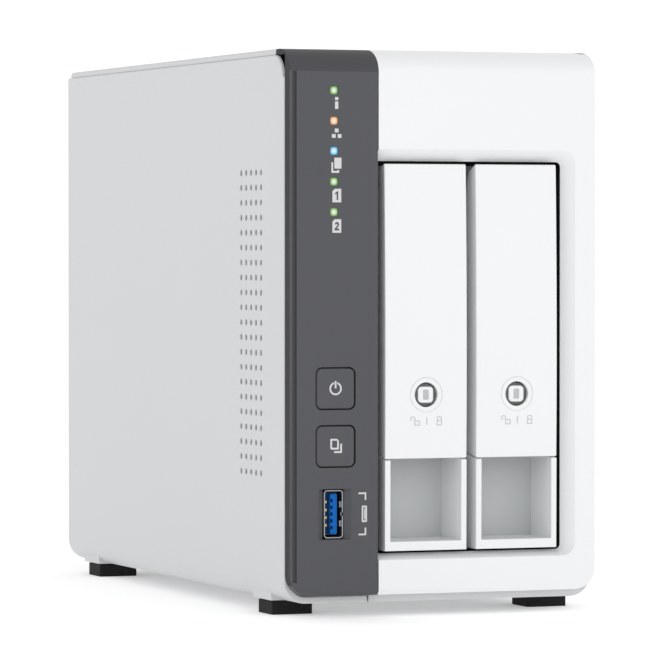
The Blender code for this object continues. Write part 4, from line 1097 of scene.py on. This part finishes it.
def padlock(name, x, swing, span):
    """A raised padlock in outline; the shackle stands to one side where it is open."""
    z, line = 58.3, 0.3
    mark = plate_at(name, x, z, 1.75, 1.6, span, 0.2)
    carve(mark, plate_at("middle", x, z, 1.75 - 2 * line, 1.6 - 2 * line, (-2, 3), 0.1))
    shackle = plate_at("shackle", x + swing, z + 1.25, 1.7, 1.5, (span[0] + 0.01, span[1] - 0.01), 0.6)
    carve(
        shackle,
        plate_at("shackle_gap", x + swing, z + 1.25, 1.7 - 2 * line, 1.5 - 2 * line, (-2, 3), 0.4),
        block("shackle_foot", (x + swing - 2, -2, z - 1), (x + swing + 2, 3, z + 0.75)),
    )
    return weld(mark, shackle)


def build_tray_lock(number, centre):
    """Round lock head with a plain slotted core, the collar, the shank and its cam."""
    home = TRAY_CENTRES[0]
    head = [(0.0, 1.1), (3.2, 1.1), (LOCK_RADIUS, 1.3), (LOCK_RADIUS, 2.7)]
    collar = [(4.7, 2.7), (4.7, 3.8)]
    shank = [(2.0, 3.8), (2.0, 7.4), (0.0, 7.4)]
    lock = turned(f"tray_{number}_lock_head", "Y", head + collar + shank, (home, LOCK_Z), 64)
    core = prism("lock_core", "Y", square(home, LOCK_Z, 2.45, 2.45, 1.15, 8), (0.5, 1.4))
    soften(core, 0.22, 4, 50)
    weld(lock, core, block("cam", (home - 1.6, 6.0, LOCK_Z - 9.0), (home + 1.6, 7.2, LOCK_Z + 1.9)))
    carve(lock, prism("key_slot", "Y", square(home, LOCK_Z, *KEY_SLOT, 0.4, 8), (0.0, 0.7)))
    lock.data.transform(Matrix.Translation(((centre - home) * MM, 0, 0)))
    finish_piece(lock, "lock_well", [f"tray_{number}_lock"], angle=30, body=f"lock_{number}")
    assign(lock, "satin_white", lambda p: p.y < 1.08)
    # painted shade: the key slot's floor in the white core takes a mid grey for the shade inside the slot
    wide, high = KEY_SLOT[0] + 0.01, KEY_SLOT[1] + 0.01
    assign(
        lock,
        "slot_painted_shade",
        lambda p: 0.65 < p.y < 0.75 and abs(p.x - centre) < wide and abs(p.z - LOCK_Z) < high,
    )


def build_pivot_pin(number, centre):
    reach = TRAY_HALF - 0.9
    pin = rod(f"tray_{number}_pivot_pin", "X", PIN_RADIUS, (centre - reach, centre + reach), PIVOT)
    soften(pin, 0.25, 3, 50)
    finish_piece(pin, "nickel", [f"tray_{number}_lever_pin"], body=f"tray_{number}")


def build_drive(number, centre):
    """A 3.5 inch drive: cast body, raised steel lid with its screws and spindle cap, plain label."""
    half = DRIVE_THICKNESS / 2
    rear, top = DRIVE_FRONT + DRIVE_LENGTH, DRIVE_BOTTOM + DRIVE_HEIGHT
    low = (centre - half, DRIVE_FRONT, DRIVE_BOTTOM)
    body = soften(block(f"drive_{number}_casting", low, (centre + half - 1.2, rear, top)), 1.1, 4)
    holes = [(centre - 6.7, y) for y in (49, 91, 151)]
    carve(
        body,
        block("connector_notch", (centre - 10.6, rear - 6.5, 37.2), (centre - 3.9, rear + 1.0, 80.8)),
        rods("side_holes", "Z", 1.6, (DRIVE_BOTTOM - 1, DRIVE_BOTTOM + 4), holes, 20),
        rods("top_holes", "Z", 1.6, (top - 4, top + 1), holes, 20),
        rods("underside_wells", "X", 15.0, (centre - half - 1, centre - half + 0.9), [(70.0, 78.0)], 64),
    )
    finish_piece(body, "cast_metal", [f"drive_{number}"], body=f"tray_{number}")
    low, high = (DRIVE_FRONT + 4.0, DRIVE_BOTTOM + 3.0), (rear - 18.0, top - 3.0)
    lid_top = centre + half
    lid = prism(f"drive_{number}_lid", "X", rounded(low, high, 7.0, 10), (lid_top - 1.5, lid_top - 0.15))
    soften(lid, 0.5, 4)
    carve(lid, rod("platter_step", "X", 45.5, (lid_top - 0.5, lid_top + 1), SPINDLE, sides=96))
    screws = [(30.0, 36.0), (30.0, 121.0), (90.0, 34.0), (90.0, 122.5), (143.0, 36.0), (143.0, 121.0)]
    bm = bmesh.new()
    for place in screws + [SPINDLE]:
        reach = 2.6 if place in screws else 8.0
        add_rod(bm, "X", reach, (lid_top - 0.7, lid_top - 0.1), place, 32)
    weld(lid, solid("lid_caps", bm))
    carve(lid, *(star_tool((lid_top - 0.45, lid_top + 1), place, 1.25) for place in screws))
    finish_piece(lid, "brushed_lid", body=f"tray_{number}")
    outline = rounded((88.0, 42.0), (136.0, 114.0), 1.5, 5)
    paper = prism(f"drive_{number}_label", "X", outline, (lid_top - 0.3, lid_top - 0.04))
    finish_piece(paper, "label_paper", body=f"tray_{number}")
    outline = rounded((90.0, 44.0), (97.0, 112.0), 0.6, 4)
    band = prism(f"drive_{number}_label_band", "X", outline, (lid_top - 0.1, lid_top))
    finish_piece(band, "label_band", body=f"tray_{number}")


def star_tool(span, place, reach):
    """Cuts a six-lobed recess."""
    points = []
    for step in range(24):
        angle = radians(step * 15)
        radius = reach * (1.0 if step % 4 in (0, 1) else 0.72)
        points.append((place[0] + radius * cos(angle), place[1] + radius * sin(angle)))
    return prism("star", "X", points, span)


# ---------------------------------------------------------------- rear and feet

REAR_FRONT = 216.4
REAR_THICKNESS = 1.6
PORT_REAR = 219.2
FAN = (63.5, 95.0)
FAN_FRONT = 191.0
HOLE_PITCH = 60.0
FAN_HOLE = 2.2
DUCT_RADIUS = 33.2
HUB_RADIUS = 13.5
BLADE_ROOT = 12.6
BLADE_TIP = 31.6
BLADES = 7
RESET = (19.0, 44.0)
COVER_SCREWS = (6.5, 155.0), (WIDTH - 6.5, 155.0), (WIDTH - 6.5, 20.0)


def fan_corners():
    half = HOLE_PITCH / 2
    return [(FAN[0] + i * half, FAN[1] + j * half) for i in (-1, 1) for j in (-1, 1)]


def grille_centres(pitch, reach):
    row_step = pitch * cos(radians(30))
    rows = int(reach / row_step) + 1
    for row in range(-rows, rows + 1):
        shift = pitch / 2 if row % 2 else 0.0
        for column in range(-rows - 1, rows + 2):
            across, up = column * pitch + shift, row * row_step
            if across**2 + up**2 <= reach**2:
                yield FAN[0] + across, FAN[1] + up


def build_rear_panel():
    """Zinc-plated rear sheet with a hexagonal grille, port openings and a security slot."""
    left, right, top = WALL + GAP, WIDTH - WALL - GAP, 163.6
    outline = (
        arc((right - 0.5, top - 0.5), 0.5, 0, 90, 4)
        + arc((left + 0.5, top - 0.5), 0.5, 90, 180, 4)
        + arc((left + RIM_RADIUS, BASE + EDGE_RADIUS), RIM_RADIUS, 180, 270, 16)
        + arc((right - RIM_RADIUS, BASE + EDGE_RADIUS), RIM_RADIUS, 270, 360, 16)
    )
    rear = REAR_FRONT + REAR_THICKNESS
    span = (REAR_FRONT - 1, rear + 1)
    sheet = prism("rear_sheet", "Y", outline, (REAR_FRONT, rear))
    weld(sheet, block("top_strip", (5.0, REAR_FRONT, 162.0), (98.5, rear, HEIGHT - WALL - GAP)))
    soften(sheet, 0.25, 2, 50)
    sizes = bpy.context.scene.storage_sizes
    grille = rods("grille_tool", "Y", sizes.grille_hole, span, grille_centres(sizes.grille_pitch, 29.5), 6)
    openings = []
    for node in ("ethernet_jack_1", "ethernet_jack_2", "rear_usb_shell_1", "rear_usb_shell_2", "power_inlet"):
        low, high = node_box(node)
        openings.append(((low.x - GAP, span[0], low.z - GAP), (high.x + GAP, span[1], high.z + GAP)))
    carve(
        sheet,
        grille,
        blocks("port_tools", openings),
        prism("security_slot", "Y", rounded((88.5, 40.0), (91.5, 47.0), 1.2, 6), span),
        rods("screw_tools", "Y", SCREW_HOLE, span, COVER_SCREWS, 24),
        rods("fan_screw_tools", "Y", FAN_HOLE, span, fan_corners(), 24),
        rod("reset_tool", "Y", 2.0, span, RESET, 24),
    )
    finish_piece(sheet, "zinc_sheet", ["rear_panel"])


def build_feet():
    """Rubber feet with crisp sides, a little rounding and shallow tread lines underneath."""
    for side, left in zip(("left", "right"), FOOT_LEFTS):
        for end, front in zip(("front", "rear"), FOOT_FRONTS):
            right, back = left + FOOT_SIZE[0], front + FOOT_SIZE[1]
            outline = rounded((left, front), (right, back), 0.5, 6)
            foot = prism(f"rubber_foot_{end}_{side}", "Z", outline, (GROUND, BASE - GAP))
            soften(foot, 0.15, 2, 50)
            treads = [
                ((left + 1.5, near, GROUND - 1), (right - 1.5, near + 0.7, GROUND + 0.35))
                for near in (front + 2.0 + 1.9 * i for i in range(5))
            ]
            carve(foot, blocks("tread_tools", treads))
            finish_piece(foot, "foot_rubber", [f"foot_{end}_{side}"])


def cross_tool(axis, span, centre, reach, width):
    """Cuts a cross recess."""
    cross = prism("cross", axis, square(*centre, reach, width, width * 0.5, 3), span)
    return weld(cross, prism("cross_arm", axis, square(*centre, width, reach, width * 0.5, 3), span))


def build_screw(node, axis, centre, head, outward, radius, head_radius, rise, recess):
    """A pan-head screw with a domed head, a cross recess and a tapered tip."""
    low, high = node_box(node)
    along = "XYZ".index(axis)
    tip = (low if outward > 0 else high)[along]
    profile = [
        (0.0, tip),
        (radius * 0.5, tip),
        (radius, tip + outward * radius),
        (radius, head),
        (head_radius, head),
        (head_radius, head + outward * rise * 0.35),
        (head_radius * 0.86, head + outward * rise * 0.75),
        (head_radius * 0.5, head + outward * rise * 0.97),
        (0.0, head + outward * rise),
    ]
    screw = turned(f"{node}_pan", axis, profile, centre, 40)
    face = head + outward * rise
    span = sorted((face - outward * recess, face + outward * 1.0))
    carve(screw, cross_tool(axis, span, centre, head_radius * 0.56, head_radius * 0.14))
    finish_piece(screw, "nickel", [node], angle=32)


def build_screws():
    under_head = REAR_FRONT + REAR_THICKNESS + 0.2
    for number, centre in enumerate(COVER_SCREWS, 1):
        build_screw(f"cover_screw_{number}", "Y", centre, under_head, 1, 1.5, 3.0, 1.2, 0.9)
    for number, centre in enumerate(fan_corners(), 1):
        build_screw(f"fan_screw_{number}", "Y", centre, under_head, 1, 1.8, 3.4, 1.2, 0.9)
    for number in range(1, 5):
        low, high = node_box(f"board_screw_{number}")
        centre = ((low.y + high.y) / 2, (low.z + high.z) / 2)
        build_screw(f"board_screw_{number}", "X", centre, low.x + 1.6, -1, 1.4, 2.8, 1.6, 1.0)


def build_network_jacks():
    """Network jacks with a stepped mouth, a dark lining, spring contacts and lamps."""
    for number in (1, 2):
        low, high = node_box(f"ethernet_jack_{number}")
        middle = (low.z + high.z) / 2
        jack = block(f"network_jack_{number}", low, high)
        soften(jack, 0.3, 3)
        mouth = PORT_REAR - 12.0
        tools = [
            ((low.x + 3.2, mouth, middle - 5.9), (high.x - 1.9, PORT_REAR + 1, middle + 5.9)),
            ((low.x + 1.2, mouth, middle - 3.0), (low.x + 4.0, PORT_REAR + 1, middle + 3.0)),
        ]
        for low_corner, high_corner in tools:
            carve(jack, block("mouth_tool", low_corner, high_corner))
        finish_piece(jack, "nickel", [f"ethernet_jack_{number}"])
        lining = [
            ((low.x + 3.25, mouth + 0.01, middle - 5.85), (high.x - 1.95, mouth + 0.8, middle + 5.85)),
            ((low.x + 3.25, mouth + 0.5, middle - 5.85), (high.x - 1.95, PORT_REAR - 0.5, middle - 5.35)),
            ((low.x + 3.25, mouth + 0.5, middle + 5.35), (high.x - 1.95, PORT_REAR - 0.5, middle + 5.85)),
        ]
        finish_piece(blocks(f"network_jack_{number}_lining", lining), "black_moulding")
        pins = [
            ((high.x - 3.4, mouth + 0.9, z), (high.x - 3.0, PORT_REAR - 2.5, z + 0.45))
            for z in (middle - 3.7 + 1.02 * i for i in range(8))
        ]
        finish_piece(blocks(f"network_jack_{number}_pins", pins), "gold")
        for name, place in (("upper", middle + 4.9), ("lower", middle - 4.9)):
            near = (low.x + 0.9, PORT_REAR - 0.4, place - 1.0)
            far = (low.x + 2.6, PORT_REAR + 0.05, place + 1.0)
            lens = soften(block(f"jack_{number}_{name}_lens", near, far), 0.15, 2)
            finish_piece(lens, "clear_guide")


def build_rear_usb():
    for number in (1, 2):
        low, high = node_box(f"rear_usb_shell_{number}")
        outline = rounded((low.x, low.z), (high.x, high.z), 0.6, 6)
        shell = prism(f"rear_usb_socket_{number}", "Y", outline, (low.y, high.y))
        inside = rounded((low.x + 0.6, low.z + 0.6), (high.x - 0.6, high.z - 0.6), 0.4, 6)
        carve(shell, prism("socket_tool", "Y", inside, (low.y - 1, high.y + 1)))
        finish_piece(shell, "nickel", [f"rear_usb_shell_{number}"])
        low, high = node_box(f"rear_usb_tongue_{number}")
        tongue = block(f"rear_usb_carrier_{number}", low, high)
        soften(tongue, 0.2, 2)
        finish_piece(tongue, "blue_tongue", [f"rear_usb_tongue_{number}"])
        pads = [
            ((high.x - 0.1, high.y - 8.0, z), (high.x + 0.08, high.y - 0.6, z + 1.1))
            for z in (low.z + 0.9 + 2.5 * i for i in range(4))
        ]
        finish_piece(blocks(f"rear_usb_contacts_{number}", pads), "gold")


def build_power_inlet():
    low, high = node_box("power_inlet")
    centre = ((low.x + high.x) / 2, (low.z + high.z) / 2)
    inlet = block("dc_inlet", low, high)
    soften(inlet, 0.5, 3)
    carve(inlet, rod("inlet_bore", "Y", 3.2, (PORT_REAR - 9.5, PORT_REAR + 1), centre, sides=48))
    finish_piece(inlet, "black_moulding", ["power_inlet"])
    root, shoulder, tip = PORT_REAR - 9.4, PORT_REAR - 1.6, PORT_REAR - 1.0
    pin = turned("dc_inlet_pin", "Y", [(0, root), (1, root), (1, shoulder), (0.6, tip), (0, tip)], centre)
    finish_piece(pin, "nickel")


def build_reset_key():
    profile = [(0, 213.9), (1.6, 213.9), (1.6, 217.4), (1.2, 217.8), (0, 217.8)]
    cap = turned("reset_key_cap", "Y", profile, RESET, 40)
    finish_piece(cap, "key_grey", ["reset_button"], body="reset_key")


def build_fan():
    """Fan frame with flanges and struts, and a rotor with seven curved, twisted blades."""
    low, high = node_box("fan_frame")
    shell = prism("fan_shell", "Y", rounded((low.x, low.z), (high.x, high.z), 4.0, 10), (low.y, high.y))
    soften(shell, 0.5, 3)
    span = (low.y - 1, high.y + 1)
    corners = rods("corners", "Y", FAN_HOLE, span, fan_corners(), 24)
    carve(shell, rod("duct", "Y", DUCT_RADIUS, span, FAN, sides=96), corners)
    weld(shell, rod("motor_mount", "Y", 14.0, (high.y - 3.0, high.y), FAN, sides=64))
    for turn in (45, 135):
        bm = bmesh.new()
        add_block(bm, (-34.0, high.y - 2.5, -2.0), (34.0, high.y - 0.1, 2.0))
        bmesh.ops.rotate(bm, matrix=Matrix.Rotation(radians(turn), 3, "Y"), verts=bm.verts)
        bmesh.ops.translate(bm, vec=(FAN[0], 0, FAN[1]), verts=bm.verts)
        weld(shell, solid("strut", bm))
    finish_piece(shell, "black_moulding", ["fan_frame"])
    near, far = low.y + 2.0, high.y - 3.6
    profile = [(0, near), (11.0, near), (BLADE_ROOT, near + 0.5), (HUB_RADIUS, near + 1.8)]
    profile += [(HUB_RADIUS, far), (0, far)]
    hub = turned("fan_impeller", "Y", profile, FAN, 64)
    for number in range(BLADES):
        weld(hub, fan_blade(2 * pi * number / BLADES))
    finish_piece(hub, "black_moulding", ["fan_rotor"], body="rotor")


def fan_blade(turn):
    """A blade of even thickness that leans forward from root to tip, curved across its chord."""
    bm = bmesh.new()
    bmesh.ops.create_grid(bm, x_segments=10, y_segments=6, size=1.0)
    for vert in bm.verts:
        outward, chord = (vert.co.x + 1) / 2, vert.co.y
        radius = BLADE_ROOT + outward * (BLADE_TIP - BLADE_ROOT)
        lean = radians(14 * outward + (24 - 3 * outward) * chord)
        depth = FAN_FRONT + 11.0 + (5.6 - 1.2 * outward) * chord - 0.9 * (1 - chord * chord)
        vert.co = (radius * cos(lean), depth, radius * sin(lean))
    bmesh.ops.solidify(bm, geom=bm.faces[:], thickness=1.3)
    bmesh.ops.rotate(bm, matrix=Matrix.Rotation(turn, 3, "Y"), verts=bm.verts)
    bmesh.ops.translate(bm, vec=(FAN[0], 0, FAN[1]), verts=bm.verts)
    return solid("blade", bm)


# ---------------------------------------------------------------- inside

CARRIED = {
    "zinc_sheet": ["drive_cage"],
    "black_moulding": [
        "lower_guide", "upper_guide", "coin_cell_holder", "drive_connector_1", "drive_connector_2",
    ],
    "chip_epoxy": ["processor", "power_switch", "copy_switch", "reset_switch"],
    "board_green": ["mainboard", "backplane_board", "front_board"],
    "sink_metal": ["heatsink"],
    "nickel": ["coin_cell"],
}


def build_inside():
    """Finishes for the inner pieces, and the small parts on the mainboard and the backplane."""
    for look, nodes in CARRIED.items():
        for node in nodes:
            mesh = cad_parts[node].data
            mesh.materials.clear()
            mesh.materials.append(finish(look))
    face = node_box("mainboard")[0].x
    chips = [
        ((face - 1.1, 140.0, 92.0), (face - 0.02, 152.0, 104.0)),
        ((face - 1.1, 140.0, 108.0), (face - 0.02, 152.0, 120.0)),
        ((face - 1.4, 88.0, 60.0), (face - 0.02, 104.0, 74.0)),
        ((face - 1.2, 160.0, 62.0), (face - 0.02, 170.0, 72.0)),
        ((face - 1.2, 164.0, 120.0), (face - 0.02, 174.0, 130.0)),
        ((face - 2.2, 120.0, 40.0), (face - 0.02, 128.0, 48.0)),
        ((face - 2.2, 132.0, 40.0), (face - 0.02, 140.0, 48.0)),
    ]
    made = blocks("mainboard_chips", chips)
    soften(made, 0.2, 2)
    finish_piece(made, "chip_epoxy")
    bm = bmesh.new()
    for y, z in ((150.0, 32.0), (160.0, 32.0), (170.0, 32.0), (150.0, 48.0), (100.0, 142.0), (112.0, 142.0)):
        add_rod(bm, "X", 3.4, (face - 9.0, face - 0.02), (y, z), 28)
    cans = solid("mainboard_capacitors", bm)
    soften(cans, 0.4, 3, 50)
    finish_piece(cans, "sink_metal")
    for number in (1, 2):
        low = node_box(f"drive_connector_{number}")[0]
        pads = [
            ((low.x + 3.62, low.y + 1.0, z), (low.x + 3.8, low.y + 5.0, z + 0.9))
            for z in (41.0 + 1.75 * i for i in range(21))
        ]
        finish_piece(blocks(f"backplane_contacts_{number}", pads), "gold")


# ---------------------------------------------------------------- studio


def build_studio():
    stage = bpy.context.scene.storage_stage
    bm = bmesh.new()
    bmesh.ops.create_grid(bm, x_segments=1, y_segments=1, size=30.0)
    mesh = bpy.data.meshes.new("studio_floor")
    bm.to_mesh(mesh)
    bm.free()
    floor = bpy.data.objects.new("studio_floor", mesh)
    bpy.context.scene.collection.objects.link(floor)
    pale = bpy.data.materials.new("pale_floor")
    pale.use_nodes = True
    shader = pale.node_tree.nodes["Principled BSDF"]
    shader.inputs["Roughness"].default_value = 0.9
    shader.inputs["Specular IOR Level"].default_value = 0.0
    tree = pale.node_tree
    place = add_node(tree, "ShaderNodeTexCoord")
    mottle = add_node(tree, "ShaderNodeTexNoise", [(place.outputs["Object"], "Vector")], scale=3.0)
    tone = add_node(tree, "ShaderNodeMapRange", [(mottle.outputs["Fac"], "Value")], to_min=0.965, to_max=0.972)
    tree.links.new(tone.outputs["Result"], shader.inputs["Base Color"])
    shader.inputs["Emission Color"].default_value = (1.0, 1.0, 1.0, 1.0)
    shader.inputs["Emission Strength"].default_value = stage.floor_glow
    mesh.materials.append(pale)

    scene = bpy.context.scene
    world = bpy.data.worlds.new("studio_light")
    world.use_nodes = True
    background = world.node_tree.nodes["Background"]
    background.inputs["Strength"].default_value = stage.ambient
    tree = world.node_tree
    place = add_node(tree, "ShaderNodeTexCoord")
    parts = add_node(tree, "ShaderNodeSeparateXYZ", [(place.outputs["Generated"], "Vector")])
    ramp = {"from_min": 0.15, "from_max": 0.9, "to_min": 1.0, "to_max": stage.overhead}
    sky = add_node(tree, "ShaderNodeMapRange", [(parts.outputs["Z"], "Value")], **ramp)
    tree.links.new(sky.outputs["Result"], background.inputs["Color"])
    scene.world = world

    aim = TO_FRAME @ Vector(stage.aim)
    add_light("front_softbox", stage.key, aim + Vector((0.5, -1.6, 0.9)), aim, 1.2)
    add_light("top_softbox", stage.top, aim + Vector((0.0, 0.1, 1.6)), aim, 1.4)

    toward = Vector(
        (
            -sin(stage.azimuth) * cos(stage.elevation),
            -cos(stage.azimuth) * cos(stage.elevation),
            sin(stage.elevation),
        )
    )
    lens = bpy.data.cameras.new("studio_camera")
    lens.lens = stage.lens
    lens.clip_end = 100.0
    camera = bpy.data.objects.new("studio_camera", lens)
    camera.location = aim + toward * stage.distance
    camera.rotation_euler = (-toward).to_track_quat("-Z", "Y").to_euler()
    scene.collection.objects.link(camera)
    scene.camera = camera
    scene.view_settings.view_transform = "Standard"


def add_light(name, power, place, aim, size):
    light = bpy.data.lights.new(name, "AREA")
    light.shape = "DISK"
    light.size = size
    light.energy = power
    made = bpy.data.objects.new(name, light)
    made.location = place
    made.rotation_euler = (aim - place).to_track_quat("-Z", "Y").to_euler()
    bpy.context.scene.collection.objects.link(made)


# ---------------------------------------------------------------- operators and panel


class STORAGE_OT_studio(bpy.types.Operator):
    """Set up the pale floor, the soft lights and the camera"""

    bl_idname = "storage.studio"
    bl_label = "Studio"

    def execute(self, context):
        build_studio()
        return {"FINISHED"}


class STORAGE_OT_covers(bpy.types.Operator):
    """Build the left cover and the shell, with their vent holes"""

    bl_idname = "storage.covers"
    bl_label = "Covers"

    def execute(self, context):
        build_left_cover()
        build_main_housing()
        return {"FINISHED"}


class STORAGE_OT_bezel(bpy.types.Operator):
    """Build the white frame around the bays"""

    bl_idname = "storage.bezel"
    bl_label = "Front Bezel"

    def execute(self, context):
        build_front_bezel()
        return {"FINISHED"}


class STORAGE_OT_strip(bpy.types.Operator):
    """Build the dark strip and its printed marks"""

    bl_idname = "storage.strip"
    bl_label = "Indicator Strip"

    def execute(self, context):
        build_indicator_panel()
        build_panel_marks()
        return {"FINISHED"}


class STORAGE_OT_keys(bpy.types.Operator):
    """Build the power and copy keys"""

    bl_idname = "storage.keys"
    bl_label = "Keys"

    def execute(self, context):
        build_keys()
        return {"FINISHED"}


class STORAGE_OT_lamps(bpy.types.Operator):
    """Build the light guide and its five lenses"""

    bl_idname = "storage.lamps"
    bl_label = "Lamps"

    def execute(self, context):
        build_lamps()
        return {"FINISHED"}


class STORAGE_OT_front_usb(bpy.types.Operator):
    """Build the upright USB socket"""

    bl_idname = "storage.front_usb"
    bl_label = "Front USB Socket"

    def execute(self, context):
        build_front_usb()
        return {"FINISHED"}


class STORAGE_OT_trays(bpy.types.Operator):
    """Build the sleds of the two trays"""

    bl_idname = "storage.trays"
    bl_label = "Tray Sleds"

    def execute(self, context):
        for number, centre in enumerate(TRAY_CENTRES, 1):
            build_tray_sled(number, centre)
        return {"FINISHED"}


class STORAGE_OT_levers(bpy.types.Operator):
    """Build the bowed front plates of the trays"""

    bl_idname = "storage.levers"
    bl_label = "Tray Front Plates"

    def execute(self, context):
        for number, centre in enumerate(TRAY_CENTRES, 1):
            build_tray_lever(number, centre)
        return {"FINISHED"}


class STORAGE_OT_locks(bpy.types.Operator):
    """Build the tray locks and the levers' pins"""

    bl_idname = "storage.locks"
    bl_label = "Tray Locks"

    def execute(self, context):
        for number, centre in enumerate(TRAY_CENTRES, 1):
            build_tray_lock(number, centre)
            build_pivot_pin(number, centre)
        return {"FINISHED"}


class STORAGE_OT_drives(bpy.types.Operator):
    """Build the hard drives"""

    bl_idname = "storage.drives"
    bl_label = "Drives"

    def execute(self, context):
        for number, centre in enumerate(TRAY_CENTRES, 1):
            build_drive(number, centre)
        return {"FINISHED"}


class STORAGE_OT_rear_panel(bpy.types.Operator):
    """Build the rear sheet with its grille and openings"""

    bl_idname = "storage.rear_panel"
    bl_label = "Rear Panel"

    def execute(self, context):
        build_rear_panel()
        return {"FINISHED"}


class STORAGE_OT_screws(bpy.types.Operator):
    """Build the screws of the rear, the fan and the board"""

    bl_idname = "storage.screws"
    bl_label = "Screws"

    def execute(self, context):
        build_screws()
        return {"FINISHED"}


class STORAGE_OT_rear_ports(bpy.types.Operator):
    """Build the rear sockets and the reset key"""

    bl_idname = "storage.rear_ports"
    bl_label = "Rear Ports"

    def execute(self, context):
        build_network_jacks()
        build_rear_usb()
        build_power_inlet()
        build_reset_key()
        return {"FINISHED"}


class STORAGE_OT_fan(bpy.types.Operator):
    """Build the fan frame and its rotor"""

    bl_idname = "storage.fan"
    bl_label = "Fan"

    def execute(self, context):
        build_fan()
        return {"FINISHED"}


class STORAGE_OT_feet(bpy.types.Operator):
    """Build the rubber feet"""

    bl_idname = "storage.feet"
    bl_label = "Feet"

    def execute(self, context):
        build_feet()
        return {"FINISHED"}


class STORAGE_OT_inside(bpy.types.Operator):
    """Give the inner pieces their finishes and small parts"""

    bl_idname = "storage.inside"
    bl_label = "Inner Pieces"

    def execute(self, context):
        build_inside()
        return {"FINISHED"}


OPERATORS = (
    STORAGE_OT_studio,
    STORAGE_OT_covers,
    STORAGE_OT_bezel,
    STORAGE_OT_strip,
    STORAGE_OT_keys,
    STORAGE_OT_lamps,
    STORAGE_OT_front_usb,
    STORAGE_OT_trays,
    STORAGE_OT_levers,
    STORAGE_OT_locks,
    STORAGE_OT_drives,
    STORAGE_OT_rear_panel,
    STORAGE_OT_screws,
    STORAGE_OT_rear_ports,
    STORAGE_OT_fan,
    STORAGE_OT_feet,
    STORAGE_OT_inside,
)
SETTINGS = {"storage_finish": StorageFinish, "storage_sizes": StorageSizes, "storage_stage": StorageStage}


class STORAGE_PT_panel(bpy.types.Panel):
    """Lists the operators and the settings"""

    bl_idname = "STORAGE_PT_panel"
    bl_label = "Storage Looks"
    bl_space_type = "VIEW_3D"
    bl_region_type = "UI"
    bl_category = "Storage"

    def draw(self, context):
        for operator in OPERATORS:
            self.layout.operator(operator.bl_idname)
        for name, group in SETTINGS.items():
            box = self.layout.box()
            for setting in group.__annotations__:
                box.prop(getattr(context.scene, name), setting)


def register():
    for name, group in SETTINGS.items():
        bpy.utils.register_class(group)
        setattr(bpy.types.Scene, name, bpy.props.PointerProperty(type=group))
    for operator in OPERATORS:
        bpy.utils.register_class(operator)
    bpy.utils.register_class(STORAGE_PT_panel)


def unregister():
    bpy.utils.unregister_class(STORAGE_PT_panel)
    for operator in reversed(OPERATORS):
        bpy.utils.unregister_class(operator)
    for name, group in reversed(SETTINGS.items()):
        delattr(bpy.types.Scene, name)
        bpy.utils.unregister_class(group)


def main():
    register()
    for operator in OPERATORS:
        getattr(bpy.ops.storage, operator.bl_idname.split(".")[1])()


if __name__ == "__main__":
    main()
